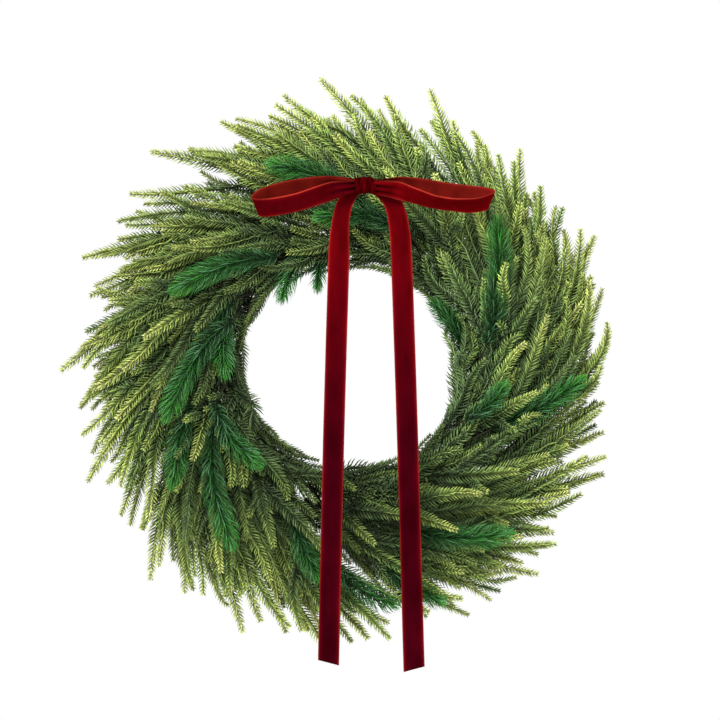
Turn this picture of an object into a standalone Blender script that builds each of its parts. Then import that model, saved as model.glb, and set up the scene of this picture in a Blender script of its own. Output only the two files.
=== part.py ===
"""An evergreen wreath with a velvet ribbon bow.

Metres, +Z up. X is to the right and the front faces -Y. The origin is the flat facet under the top of
the wire ring, where a door hook carries the wreath. Shapes are worked out about the ring's centre, by
angle on the dial (degrees, anticlockwise from the right as seen from the front), reach and depth, and
every object is placed under one empty that stands at that centre.

Each pine branch is a stem hooked round the ring, a main sprig and its side sprigs, in one skin: the
side sprigs and all the needles are raised from faces of the slim three-sided core.
"""

import math

import bmesh
import bpy
import numpy as np
from mathutils import Vector
from mathutils.kdtree import KDTree

SEED = 24
GAP = 0.0003
DEPTHWAYS = np.array((0.0, 1.0, 0.0))

# The wire ring, wound with tape
RING_RADIUS = 0.125
RING_HALF = 0.003
RING_SEGMENTS = 48
RING_SIDES = 6
RING_CORNER = RING_HALF / math.cos(math.pi / RING_SIDES)
RING_CENTRE_Z = -(RING_RADIUS - RING_HALF) * math.cos(math.pi / RING_SEGMENTS)
TOP = 90.0

# Stems, and how they hook round the ring
STEM_RADIUS = 0.0012
HOOK_STEPS = 4
HOOK_STEP = math.pi / HOOK_STEPS
HOOK_RADIUS = (RING_CORNER + GAP + STEM_RADIUS) / math.cos(HOOK_STEP / 2)
HOOK_PITCH = 0.0025
ROOT_SPACING = 5.2
TOP_CLEAR = 6.0
BACK = 1.0
FRONT = -1.0

# Sprigs: needle length, spacing along the core, lean, core radius, and room kept to other nodes
PINE = {"needle": 0.0115, "step": 0.0176, "lean": 44.0, "core": 0.0011, "keep": 0.0047}
FIR = {"needle": 0.0170, "step": 0.0088, "lean": 42.0, "core": 0.0013, "keep": 0.0075}
POINT_STEP = 0.007
NEEDLE_ROOT = 0.0017
NEEDLE_HALF = 0.0007
NEEDLE_CLEAR = 0.0003
TIP_BUD = 0.0065
FORK_ROOT = 0.0042
FORK_CLEAR = 0.0027
SIDE_BARE = 0.016
BARE_STEP = 0.026
SWIRL_AT_RING = 50.0
SWIRL_AT_TIP = 37.0
BACK_PLANE = 0.024
THIRD = 2 * math.pi / 3

# Tips of the pine branches: angle on the dial, reach in millimetres
OUTER_TIPS = (
    (4, 283), (28, 304), (52, 303), (74, 316), (96, 318), (118, 303), (133, 322), (158, 316),
    (181, 318), (204, 315), (227, 322), (248, 314), (267, 322), (312, 307), (337, 303),
)
MIDDLE_TIPS = (
    (15, 262), (44, 258), (84, 270), (108, 268), (145, 264), (170, 268), (193, 262), (238, 266),
    (258, 258), (292, 268), (325, 262),
)
FRONT_TIPS = (
    (20, 216), (66, 228), (128, 226), (172, 226), (211, 200), (247, 212), (278, 196), (303, 212),
    (328, 216), (352, 204),
)
INNER_TIPS = ((20, 138), (97, 124), (247, 130), (292, 126))
# Fir sprays: where the needles begin and end (angle, reach), and how far forward they lie
FIR_SPRAYS = (
    ((93, 196), (111, 234), 44), ((128, 150), (156, 206), 58), ((112, 136), (134, 106), 34),
    ((70, 160), (101, 166), 52), ((10, 126), (36, 114), 30), ((14, 158), (44, 222), 50),
    ((164, 146), (195, 206), 60), ((156, 146), (183, 136), 48), ((202, 154), (226, 146), 54),
    ((209, 172), (236, 232), 56), ((341, 184), (356, 250), 44), ((294, 200), (313, 250), 46),
)
# A layer of branches: the tips' depth, which side of the ring the stems leave from, how the tips
# slope, the side sprigs (how far round, how much shorter, where they fork), and where needles begin
LAYERS = {
    "outer": {"tips": OUTER_TIPS, "depth": 0.006, "vary": 0.010, "side": BACK, "slope": 0.06,
              "forks": ((8.0, 0.016, 0.46), (-7.5, 0.028, 0.56)), "bare": 0.46, "end": SWIRL_AT_TIP},
    "middle": {"tips": MIDDLE_TIPS, "depth": -0.026, "vary": 0.006, "side": FRONT, "slope": -0.10,
               "forks": ((10.5, 0.014, 0.42), (-10.0, 0.022, 0.54)), "bare": 0.38,
               "end": SWIRL_AT_TIP},
    "front": {"tips": FRONT_TIPS, "depth": -0.056, "vary": 0.008, "side": FRONT, "slope": -0.32,
              "forks": ((14.0, 0.010, 0.36), (-12.0, 0.016, 0.50)), "bare": 0.28,
              "end": SWIRL_AT_TIP},
    "inner": {"tips": INNER_TIPS, "depth": -0.024, "vary": 0.004, "side": FRONT, "slope": -0.06,
              "forks": ((-12.0, -0.014, 0.40),), "bare": 0.22, "end": 78.0},
}

# The ribbon bow, tied in front of the foliage
RIBBON = 0.023
RIBBON_THICK = 0.001
KNOT = np.array((0.016, -0.092, 0.195))
KNOT_HALF = np.array((0.0108, 0.0075, 0.0092))
# Each loop's length, and its route out along the front, round its end and back behind: how far out
# (of its length), how far forward or back and how high (metres), and how far its top leans forward
LOOPS = {
    -1: {"long": 0.107, "route": (
        (0.00, -0.0017, -0.0021, 34), (0.18, -0.0045, -0.0050, 34), (0.34, -0.0090, -0.0102, 35),
        (0.56, -0.0122, -0.0182, 36), (0.76, -0.0125, -0.0228, 34), (0.93, -0.0080, -0.0246, 30),
        (1.00, 0.0000, -0.0222, 26), (0.93, 0.0080, -0.0142, 28), (0.76, 0.0125, -0.0072, 32),
        (0.56, 0.0122, -0.0024, 34), (0.34, 0.0090, 0.0004, 34), (0.18, 0.0045, 0.0006, 34),
        (0.00, 0.0017, 0.0001, 34))},
    1: {"long": 0.1255, "route": (
        (0.00, -0.0017, -0.0021, 34), (0.18, -0.0045, -0.0054, 40), (0.32, -0.0090, -0.0107, 50),
        (0.50, -0.0122, -0.0180, 57), (0.68, -0.0125, -0.0214, 56), (0.86, -0.0100, -0.0218, 44),
        (1.00, 0.0000, -0.0164, 28), (0.93, 0.0080, -0.0124, 28), (0.78, 0.0120, -0.0096, 32),
        (0.60, 0.0125, -0.0062, 35), (0.40, 0.0105, -0.0018, 36), (0.20, 0.0050, 0.0004, 36),
        (0.00, 0.0017, 0.0001, 34))},
}
LOOP_SPLAY = 0.35
TAIL_BEHIND = 0.0052
TAIL_SLANT = 0.0027
TIE_RADIUS = 0.0008
TIE_CLOCK = 83.0

rng = np.random.default_rng(SEED)


def clear_scene():
    for old in list(bpy.data.objects):
        bpy.data.objects.remove(old)


def material(name, colour, roughness, metallic=0.0):
    made = bpy.data.materials.new(name)
    made.use_nodes = True
    shader = made.node_tree.nodes["Principled BSDF"]
    shader.inputs["Base Color"].default_value = (*colour, 1.0)
    shader.inputs["Roughness"].default_value = roughness
    shader.inputs["Metallic"].default_value = metallic
    return made


def place(name, mesh, origin, looks, parent):
    mesh.materials.append(looks)
    made = bpy.data.objects.new(name, mesh)
    made.location = tuple(origin)
    made.parent = parent
    bpy.context.scene.collection.objects.link(made)
    return made


def skin_object(name, verts, faces, origin, looks, parent):
    """An object from points about the ring's centre, with its own origin and faces turned out."""
    mesh = bpy.data.meshes.new(name)
    mesh.from_pydata([tuple(np.asarray(v) - origin) for v in verts], [], faces)
    bm = bmesh.new()
    bm.from_mesh(mesh)
    bmesh.ops.recalc_face_normals(bm, faces=bm.faces)
    bm.to_mesh(mesh)
    bm.free()
    return place(name, mesh, origin, looks, parent)


# Directions and curves

def outward(clock):
    a = math.radians(clock)
    return np.array((math.cos(a), 0.0, math.sin(a)))


def around(clock):
    a = math.radians(clock)
    return np.array((-math.sin(a), 0.0, math.cos(a)))


def polar(clock, reach, depth):
    return reach * outward(clock) + depth * DEPTHWAYS


def unit(v):
    return v / np.linalg.norm(v)


def across_part(v, way):
    """What is left of v once its part along a direction is taken away, at unit length."""
    return unit(v - way * np.dot(v, way))


def bezier(p0, p1, p2, p3, count):
    t = np.linspace(0.0, 1.0, count)[:, None]
    s = 1.0 - t
    return s ** 3 * p0 + 3 * s * s * t * p1 + 3 * s * t * t * p2 + t ** 3 * p3


def lengths(points):
    steps = np.linalg.norm(np.diff(points, axis=0), axis=1)
    return np.concatenate(([0.0], np.cumsum(steps)))


def resampled(points, spacing):
    run = lengths(points)
    count = max(3, int(round(run[-1] / spacing)) + 1)
    at = np.linspace(0.0, run[-1], count)
    return np.stack([np.interp(at, run, points[:, k]) for k in range(3)], axis=1)


def smooth_path(points, count):
    """A curve through a few chosen points (Catmull-Rom), at even steps."""
    ends = np.concatenate((2 * points[:1] - points[1:2], points, 2 * points[-1:] - points[-2:-1]))
    t = np.linspace(0, 1, 12, endpoint=False)[:, None]
    rows = []
    for k in range(1, len(ends) - 2):
        a, b, c, d = ends[k - 1:k + 3]
        rows.append(0.5 * (2 * b + (c - a) * t + (2 * a - 5 * b + 4 * c - d) * t ** 2
                           + (3 * b - a - 3 * c + d) * t ** 3))
    dense = np.concatenate(rows + [points[-1:]])
    return resampled(dense, lengths(dense)[-1] / (count - 1))


class Rail:
    """A row of points with a direction along and two across, carried along without twisting."""

    def __init__(self, points):
        self.points = points
        self.run = lengths(points)
        along = np.gradient(points, axis=0)
        self.along = along / np.linalg.norm(along, axis=1)[:, None]
        first = np.cross(self.along[0], DEPTHWAYS)
        if np.linalg.norm(first) < 0.2:
            first = np.cross(self.along[0], (1.0, 0.0, 0.0))
        self.across = np.empty_like(self.along)
        self.across[0] = unit(first)
        for k in range(1, len(points)):
            self.across[k] = across_part(self.across[k - 1], self.along[k])
        self.normal = np.cross(self.along, self.across)

    def at(self, s):
        """The point, and the three directions, at a distance along."""
        rows = (self.points, self.along, self.across, self.normal)
        found = [np.array([np.interp(s, self.run, row[:, k]) for k in range(3)]) for row in rows]
        return found[0], unit(found[1]), unit(found[2]), unit(found[3])


# Laying out the stems: one strand for each sprig, as a row of points

def lead_angle(reach):
    """How far round the dial a swirling stem travels between the ring and this reach."""
    mean = math.radians((SWIRL_AT_RING + SWIRL_AT_TIP) / 2)
    return math.degrees(math.tan(mean) * math.log(max(reach, RING_RADIUS) / RING_RADIUS))


def tip_heading(clock, slope, swirl):
    a = math.radians(swirl)
    return unit(math.cos(a) * outward(clock) + math.sin(a) * around(clock) + slope * DEPTHWAYS)


def below_top(clock):
    """The same angle, counted so that the ring's top is where the count ends."""
    clock %= 360.0
    return clock - 360.0 if clock > TOP else clock


def spread_roots(wanted):
    """Even out the roots on the ring: clear of each other, of the hook's seat and of the tie wire."""
    order = np.argsort(wanted)
    roots = np.array(wanted, float)[order]
    for _ in range(400):
        for k in range(len(roots) - 1):
            lack = ROOT_SPACING - (roots[k + 1] - roots[k])
            if lack > 0.0:
                roots[k] -= lack / 2
                roots[k + 1] += lack / 2
        roots[0] = max(roots[0], TOP - 360.0 + TOP_CLEAR)
        roots[-1] = min(roots[-1], TIE_CLOCK - ROOT_SPACING / 2)
    placed = np.empty_like(roots)
    placed[order] = roots
    return placed


def ring_reach(clock):
    """Distance to the ring's centre line, which has straight sides."""
    side = 360.0 / RING_SEGMENTS
    off = (clock - TOP + side / 2) % side - side / 2
    return RING_RADIUS * math.cos(math.pi / RING_SEGMENTS) / math.cos(math.radians(off))


def hook(root, side):
    """Half a turn of stem round the ring's inner side, ending where it leaves outward."""
    points = []
    for k in range(HOOK_STEPS + 1):
        turn = k * HOOK_STEP
        reach = ring_reach(root) - HOOK_RADIUS * math.sin(turn)
        along = HOOK_PITCH * (k / HOOK_STEPS - 1.0)
        points.append(polar(root, reach, -side * HOOK_RADIUS * math.cos(turn)) + around(root) * along)
    return np.array(points)


def pine_branches():
    """The pine branches: each one's tip, its side sprigs, and where it would root on the ring."""
    branches = []
    for layer, rule in LAYERS.items():
        for number, (clock, reach_mm) in enumerate(rule["tips"], 1):
            swing = 1 if number % 2 else -1
            depth = rule["depth"] + rule["vary"] * swing * rng.uniform(0.5, 1.0)
            reach = reach_mm * 0.001
            sides = []
            for spread, short, fork in rule["forks"]:
                side_tip = (clock + spread + rng.uniform(-1.5, 1.5),
                            reach - short + rng.uniform(-0.006, 0.006),
                            depth + rng.uniform(-1.0, 1.0) * rule["vary"])
                sides.append((side_tip, fork))
            lead = 36.0 if layer == "inner" else lead_angle(reach)
            branches.append({"name": f"pine_branch_{layer}_{number:02d}", "rule": rule,
                             "tip": (clock, reach, depth), "sides": sides, "kind": PINE,
                             "side": rule["side"], "root": below_top(clock - lead)})
    return branches


def fir_sprays():
    sprays = []
    for number, (base, tip, forward) in enumerate(FIR_SPRAYS, 1):
        lead = lead_angle(base[1] * 0.001) + 5.0
        sprays.append({"name": f"fir_spray_{number:02d}", "base": base, "tip": tip, "kind": FIR,
                       "depth": -forward * 0.001, "side": FRONT,
                       "root": below_top(base[0] - lead)})
    return sprays


def strand(plant, points, bare, joint=None):
    return {"node": plant["name"], "kind": plant["kind"], "points": resampled(points, POINT_STEP),
            "bare": bare, "joint": joint}


def lay_branch(branch, root):
    """The main sprig's strand and its side sprigs' strands, as they leave the hook's end."""
    rule = branch["rule"]
    clock, reach, depth = branch["tip"]
    start = hook(root, rule["side"])[-1]
    tip = polar(clock, reach, depth)
    far = np.linalg.norm(tip - start)
    lean = 0.9 * (depth - start[1]) / far * DEPTHWAYS
    leave = unit(outward(root) * 0.8 + around(root) * 0.6 + lean)
    end = tip_heading(clock, rule["slope"], rule["end"])
    main = strand(branch, bezier(start, start + leave * far * 0.32, tip - end * far * 0.36, tip, 60),
                  rule["bare"])
    strands = [main]
    for (side_clock, side_reach, side_depth), fork in branch["sides"]:
        joint = int(fork * len(main["points"]))
        origin = main["points"][joint]
        along = unit(main["points"][joint + 1] - origin)
        side_tip = polar(side_clock, side_reach, side_depth)
        away = unit(along + 0.42 * across_part(side_tip - tip, along))
        far = np.linalg.norm(side_tip - origin)
        end = tip_heading(side_clock, rule["slope"], rule["end"] * 0.9)
        points = bezier(origin, origin + away * far * 0.34, side_tip - end * far * 0.36, side_tip, 40)
        strands.append(strand(branch, points, SIDE_BARE / lengths(points)[-1], joint))
    return strands


def lay_spray(spray, root):
    (base_clock, base_mm), (tip_clock, tip_mm) = spray["base"], spray["tip"]
    start = hook(root, FRONT)[-1]
    base = polar(base_clock, base_mm * 0.001, spray["depth"] * 0.8)
    tip = polar(tip_clock, tip_mm * 0.001, spray["depth"])
    heading = unit(tip - base)
    bow = unit(heading + 0.35 * outward(base_clock))
    gap = np.linalg.norm(base - start)
    long = np.linalg.norm(tip - base)
    lean = (base[1] - start[1]) / max(gap, 0.02) * DEPTHWAYS
    leave = unit(outward(root) * 0.8 + around(root) * 0.6 + lean)
    stem = bezier(start, start + leave * gap * 0.4, base - bow * gap * 0.35, base, 20)
    needled = bezier(base, base + bow * long * 0.33,
                     tip - unit(heading - 0.2 * outward(tip_clock)) * long * 0.33, tip, 40)
    return [strand(spray, np.concatenate((stem, needled[1:])),
                   lengths(stem)[-1] / (lengths(stem)[-1] + lengths(needled)[-1]))]


# The bow's and the tie wire's routes, which the foliage keeps clear of

def tail_path(side):
    """Middle line of a tail: sideways from behind the knot, over, and straight down."""
    behind = KNOT_HALF[1] + GAP + RIBBON_THICK / 2
    if side < 0:
        route = ((0.0035, 0.002), (0.0125, 0.006), (0.0200, 0.016), (0.0243, 0.029),
                 (0.0270, 0.050), (0.0282, 0.085), (0.0335, 0.270), (0.0392, 0.516))
    else:
        route = ((0.0035, 0.002), (0.0150, 0.004), (0.0260, 0.012), (0.0330, 0.025),
                 (0.0375, 0.047), (0.0400, 0.085), (0.0462, 0.270), (0.0534, 0.523))
    points = [(side * out, behind + np.interp(out, (0.0035, 0.020), (0.0, TAIL_BEHIND)), -drop)
              for out, drop in route]
    dense = smooth_path(np.array(points), 200)
    run = lengths(dense)
    at = np.concatenate((np.linspace(0.0, 0.1, 12), np.linspace(0.16, run[-1], 5)))
    return KNOT + np.stack([np.interp(at, run, dense[:, k]) for k in range(3)], axis=1)


def loop_path(side):
    """A bow loop's middle line, and the way its width lies at each point of it."""
    long = LOOPS[side]["long"]
    chosen = np.array([(side * (KNOT_HALF[0] + GAP + out * long), deep, high)
                       for out, deep, high, _ in LOOPS[side]["route"]])
    path = smooth_path(chosen, 28)
    run, chosen_run = lengths(path), lengths(chosen)
    lean = np.radians(np.interp(run / run[-1], chosen_run / chosen_run[-1],
                                [lean for _, _, _, lean in LOOPS[side]["route"]]))
    ways = np.stack((np.full(len(path), side * LOOP_SPLAY), -np.sin(lean), np.cos(lean)), axis=1)
    return KNOT + path, ways


def tie_path():
    """The wire that holds the bow: hooked round the ring, then up to the back of the knot."""
    reach = ring_reach(TIE_CLOCK)
    clear = (RING_CORNER + GAP + TIE_RADIUS) / math.cos(HOOK_STEP / 2)
    points = [polar(TIE_CLOCK, reach - clear * math.sin(k * HOOK_STEP), clear * math.cos(k * HOOK_STEP))
              for k in range(HOOK_STEPS + 1)]
    behind = KNOT + (KNOT_HALF[1] + GAP + TIE_RADIUS) * DEPTHWAYS
    points += [polar(TIE_CLOCK, reach + 0.012, -0.016), behind + np.array((0.0, 0.020, -0.030)),
               behind + np.array((0.0, 0.002, -0.008)), behind + np.array((0.0, 0.0, 0.004))]
    return np.array(points)


def obstacles():
    """Where the foliage must not go: round the tie wire, behind the bow, and about the hook's seat."""
    rows = [(resampled(tie_path()[HOOK_STEPS // 2:], 0.006), 0.004)]
    for side in (-1, 1):
        for shift in (-0.006, 0.006):
            rows.append((resampled(tail_path(side), 0.008) + np.array((shift, 0.0, 0.0)), 0.0105))
        end = KNOT + np.array((side * (LOOPS[side]["long"] + 0.011), 0.004, -0.021))
        for lift in (-0.006, 0.008):
            rows.append((resampled(np.array((KNOT, end)), 0.008) + np.array((0.0, 0.0, lift)), 0.016))
    rows.append((np.array([polar(TOP, RING_RADIUS, depth) for depth in (-0.006, 0.004)]), 0.010))
    points = np.concatenate([row for row, _ in rows])
    radius = np.concatenate([np.full(len(row), r) for row, r in rows])
    return points, radius


# Bending neighbouring stems apart

def neighbours(points, owner, reach):
    """Pairs of points of different nodes that lie within reach of each other."""
    tree = KDTree(len(points))
    for k, p in enumerate(points):
        tree.insert(p, k)
    tree.balance()
    pairs = [(k, j) for k, p in enumerate(points) for _, j, _ in tree.find_range(p, reach)
             if owner[j] != owner[k]]
    return np.array(pairs).T


def settle(strands, rounds=96):
    """Push neighbouring stems apart, as a florist bends them, with their roots held."""
    fixed, fixed_radius = obstacles()
    first = np.cumsum([0] + [len(s["points"]) for s in strands])
    nodes = sorted({s["node"] for s in strands})
    owner = np.concatenate([np.full(len(s["points"]), nodes.index(s["node"])) for s in strands])
    radius = np.concatenate([np.full(len(s["points"]), s["kind"]["keep"]) for s in strands])
    free = np.concatenate([np.ones(len(s["points"])) if s["joint"] is not None else
                           np.clip(lengths(s["points"]) / 0.045, 0, 1) for s in strands])
    points = np.concatenate([s["points"] for s in strands])
    for turn in range(rounds):
        if turn % 8 == 0:
            a, b = neighbours(points, owner, 0.019)
            share = free[a] / (free[a] + free[b] + 1e-6)
            want = radius[a] + radius[b]
        between = points[a] - points[b]
        gap = np.linalg.norm(between, axis=1) + 1e-9
        move = np.zeros_like(points)
        np.add.at(move, a, between * (np.maximum(want - gap, 0.0) / gap * share)[:, None])
        between = points[:, None, :] - fixed[None, :, :]
        gap = np.sqrt((between ** 2).sum(2)) + 1e-9
        push = np.maximum(radius[:, None] + fixed_radius[None, :] - gap, 0.0) / gap
        move += (between * push[:, :, None]).sum(1)
        move = np.clip(move * np.array((0.35, 0.6, 0.35)), -0.004, 0.004) * free[:, None]
        main = 0
        for k, s in enumerate(strands):
            m = move[first[k]:first[k + 1]]
            for _ in range(3):
                m[1:-1] = (m[:-2] + 2 * m[1:-1] + m[2:]) / 4
            if s["joint"] is None:
                main = k
            else:
                off = points[first[main] + s["joint"]] - points[first[k]] - m[0]
                m += off * np.linspace(1.0, 0.0, len(m))[:, None] ** 2
            points[first[k]:first[k + 1]] += m
        points[:, 1] = np.minimum(points[:, 1], BACK_PLANE)
    for k, s in enumerate(strands):
        s["points"] = points[first[k]:first[k + 1]].copy()


# Needles

class Space:
    """Every core and needle placed so far, as rods, to keep those of different strands apart."""

    def __init__(self):
        self.start = np.zeros((0, 3))
        self.end = np.zeros((0, 3))
        self.radius = np.zeros(0)
        self.owner = np.zeros(0, int)

    def add(self, start, end, radius, owner):
        self.start = np.concatenate((self.start, np.atleast_2d(start)))
        self.end = np.concatenate((self.end, np.atleast_2d(end)))
        count = len(self.start) - len(self.radius)
        self.radius = np.concatenate((self.radius, np.full(count, radius)))
        self.owner = np.concatenate((self.owner, np.full(count, owner)))

    def clear(self, start, end, radius, owner):
        """Whether a rod keeps its distance to every rod of the other strands."""
        others = self.owner != owner
        a, b = self.start[others], self.end[others]
        reach = np.linalg.norm(end - start) / 2 + np.linalg.norm(b - a, axis=1) / 2
        apart = np.linalg.norm((a + b) / 2 - (start + end) / 2, axis=1)
        wide = self.radius[others] + radius + NEEDLE_CLEAR
        near = apart < reach + wide
        return not near.any() or bool((rod_gap(start, end, a[near], b[near]) > wide[near]).all())


def rod_gap(p, q, a, b):
    """Shortest distance from the rod p-q to each of the rods a-b."""
    d1, d2, r = q - p, b - a, p - a
    aa, ee, ff = d1 @ d1, np.maximum((d2 * d2).sum(1), 1e-18), (d2 * r).sum(1)
    cc, bb = r @ d1, d2 @ d1
    wide = aa * ee - bb * bb
    s = np.where(wide > 1e-18, np.clip((bb * ff - cc * ee) / np.maximum(wide, 1e-18), 0, 1), 0.0)
    t = np.clip((bb * s + ff) / ee, 0, 1)
    s = np.clip((t * bb - cc) / aa, 0, 1)
    return np.linalg.norm((p + s[:, None] * d1) - (a + t[:, None] * d2), axis=1)


# A needle's own place comes first; then it is turned, raised or shortened to fit (degrees, size)
NEEDLE_TRIES = ((0, 0, 1.0), (22, 0, 1.0), (-22, 0, 1.0), (0, -14, 1.0), (0, 12, 0.9), (24, -10, 0.8),
                (-24, -10, 0.8), (0, -16, 0.7), (0, 0, 0.6))


def grow_needles(s, owner, space):
    """The needles of a strand in threes, counted back from its tip, each three turned by half."""
    kind = s["kind"]
    rail = Rail(s["points"])
    total = rail.run[-1]
    count = int((total * (1.0 - s["bare"]) - TIP_BUD) / kind["step"]) + 1
    grown = []
    for k in reversed(range(count)):
        at = total - TIP_BUD - kind["step"] * k
        centre, along, across, normal = rail.at(at)
        size = kind["needle"] * (0.72 + 0.28 * min(1.0, (total - at) / total / 0.3))
        turn = (k % 2) * THIRD / 2
        tips = []
        for side in range(3):
            tips.append(None)
            for off, lean, scale in NEEDLE_TRIES:
                angle = turn + THIRD / 2 + side * THIRD + math.radians(off)
                tilt = math.radians(kind["lean"] + lean)
                out = math.cos(angle) * across + math.sin(angle) * normal
                root = centre + out * kind["core"] * 0.6
                tip = root + size * scale * (math.cos(tilt) * along + math.sin(tilt) * out)
                if tip[1] < BACK_PLANE + 0.006 and space.clear(root, tip, NEEDLE_HALF, owner):
                    tips[side] = tip
                    space.add(root, tip, NEEDLE_HALF, owner)
                    break
        grown.append({"at": at, "turn": turn, "tips": tips})
    return grown


class Skin:
    """The closed skin of one node, built ring by ring along each strand's slim core."""

    def __init__(self):
        self.verts = []
        self.faces = []

    def ring(self, rail, at, radius, turn):
        centre, _, across, normal = rail.at(at)
        base = len(self.verts)
        for k in range(3):
            a = turn + k * THIRD
            self.verts.append(centre + radius * (math.cos(a) * across + math.sin(a) * normal))
        return base, turn

    def join(self, low, high):
        """Six faces between two rings, which may be turned against each other."""
        (i, turn_low), (j, turn_high) = low, high
        twist = (turn_high - turn_low + THIRD / 2) % THIRD - THIRD / 2
        shift = -round((turn_high - turn_low - twist) / THIRD)
        for k in range(3):
            a, b = i + k, i + (k + 1) % 3
            c, d = j + (k + shift) % 3, j + (k + shift + 1) % 3
            if twist >= 0.0:
                self.faces += [(a, b, c), (c, b, d)]
            else:
                self.faces += [(a, b, d), (a, d, c)]

    def band(self, low, high, tips, opened=None):
        """A short band between two like rings: each face flat, raised to a needle, or left open."""
        for k in range(3):
            m = (k + 1) % 3
            a, b, c, d = low[0] + k, low[0] + m, high[0] + m, high[0] + k
            if k == opened:
                continue
            if tips[k] is None:
                self.faces += [(a, b, c), (a, c, d)]
                continue
            point = len(self.verts)
            self.verts.append(tips[k])
            self.faces += [(a, b, point), (b, c, point), (c, d, point), (d, a, point)]

    def run_on(self, rail, last, begin, end, core):
        """Plain rings between two places, as many as the bend needs."""
        between = int((end - begin) / BARE_STEP)
        for k in range(1, between + 1):
            here = self.ring(rail, begin + (end - begin) * k / (between + 1), core, last[1])
            self.join(last, here)
            last = here
        return last

    def sprig(self, rail, last, begin, events, core):
        """From a first ring on: the needles and forks along a rail, and its pointed end."""
        openings = []
        for event in sorted(events, key=lambda e: e["at"]):
            half = event["root"] / 2
            last = self.run_on(rail, last, begin, event["at"] - half, core)
            low = self.ring(rail, event["at"] - half, core, event["turn"])
            self.join(last, low)
            high = self.ring(rail, event["at"] + half, core, event["turn"])
            is_fork = "tips" not in event
            self.band(low, high, (None,) * 3 if is_fork else event["tips"], 0 if is_fork else None)
            if is_fork:
                openings.append((event["side"], low[0], high[0]))
            last, begin = high, event["at"] + half
        end = len(self.verts)
        self.verts.append(rail.points[-1])
        for k in range(3):
            self.faces.append((last[0] + k, last[0] + (k + 1) % 3, end))
        return openings


def fork_event(main, side, joint_at):
    """Where a side sprig leaves the main core: the face it leaves from, and where it stands clear."""
    side_rail = Rail(resampled(side["points"], 0.001))
    main_rail = Rail(resampled(main["points"], 0.001))
    gaps = np.linalg.norm(side_rail.points[:, None] - main_rail.points[None, :], axis=2).min(1)
    clear = side_rail.run[int(np.argmax(gaps > FORK_CLEAR))]
    away = side_rail.at(clear)[0]
    centre, along, across, normal = Rail(main["points"]).at(joint_at)
    facing = across_part(away - centre, along)
    angle = math.atan2(np.dot(facing, normal), np.dot(facing, across))
    return {"at": joint_at, "turn": angle - THIRD / 2, "root": FORK_ROOT, "side": side,
            "clear": clear, "facing": facing}


def node_skin(mine, lead):
    """One node: the hook and the main sprig, then each side sprig out of its fork's open face."""
    main = mine[0]
    core = main["kind"]["core"]
    forks = [fork_event(main, s, lengths(main["points"])[s["joint"]]) for s in mine[1:]]
    needles = [dict(g, root=NEEDLE_ROOT) for g in main["grown"]]
    needles = [g for g in needles if all(abs(g["at"] - f["at"]) > FORK_ROOT for f in forks)]
    whole = Rail(np.concatenate((lead[:-1], main["points"])))
    shift = whole.run[len(lead) - 1]
    skin = Skin()
    last = skin.ring(whole, 0.0, STEM_RADIUS, 0.0)
    skin.faces.append((2, 1, 0))
    for k in range(1, len(lead)):
        here = skin.ring(whole, whole.run[k], STEM_RADIUS, 0.0)
        skin.join(last, here)
        last = here
    own = Rail(main["points"])
    turned = turn_between(whole.at(shift + 0.03), own.at(0.03))
    events = [dict(e, at=e["at"] + shift, turn=e["turn"] + turned) for e in needles + forks]
    openings = skin.sprig(whole, last, shift, events, core)
    for side, low, high in openings:
        fork = next(f for f in forks if f["side"] is side)
        rail = Rail(side["points"])
        _, along, across, normal = rail.at(fork["clear"])
        facing = across_part(fork["facing"], along)
        turn = math.atan2(np.dot(facing, normal), np.dot(facing, across))
        first = skin.ring(rail, fork["clear"], core * 0.9, turn)
        outer, left, right = first[0], first[0] + 1, first[0] + 2
        skin.faces += [(low + 1, low, outer), (low + 1, left, high + 1), (low + 1, outer, left),
                       (low, right, outer), (low, high, right),
                       (high, high + 1, left), (high, left, right)]
        start = fork["clear"] + 0.003
        events = [dict(g, root=NEEDLE_ROOT) for g in side["grown"] if g["at"] > start]
        skin.sprig(rail, first, fork["clear"], events, core)
    return skin


def turn_between(one, other):
    """How far the across direction of one frame is turned from another's, about the rail."""
    return math.atan2(np.dot(other[2], one[3]), np.dot(other[2], one[2]))


def foliage(parent, looks):
    plants = pine_branches() + fir_sprays()
    roots = spread_roots([plant["root"] for plant in plants])
    strands, leads = [], {}
    for plant, root in zip(plants, roots):
        leads[plant["name"]] = hook(root, plant["side"])
        strands += lay_branch(plant, root) if plant["kind"] is PINE else lay_spray(plant, root)
    settle(strands)
    space = Space()
    tie = tie_path()
    space.add(tie[:-1], tie[1:], TIE_RADIUS, -1)
    for k, s in enumerate(strands):
        space.add(s["points"][:-1], s["points"][1:], s["kind"]["core"], k)
        if s["joint"] is None:
            lead = leads[s["node"]]
            space.add(lead[:-1], lead[1:], STEM_RADIUS, k)
    for k in sorted(range(len(strands)), key=lambda k: (strands[k]["kind"] is PINE, k)):
        strands[k]["grown"] = grow_needles(strands[k], k, space)
    for name, lead in leads.items():
        skin = node_skin([s for s in strands if s["node"] == name], lead)
        look = looks["fir" if name.startswith("fir") else "pine"]
        skin_object(name, skin.verts, skin.faces, lead[-1], look, parent)


# The ring, the tie wire and the ribbon

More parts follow.
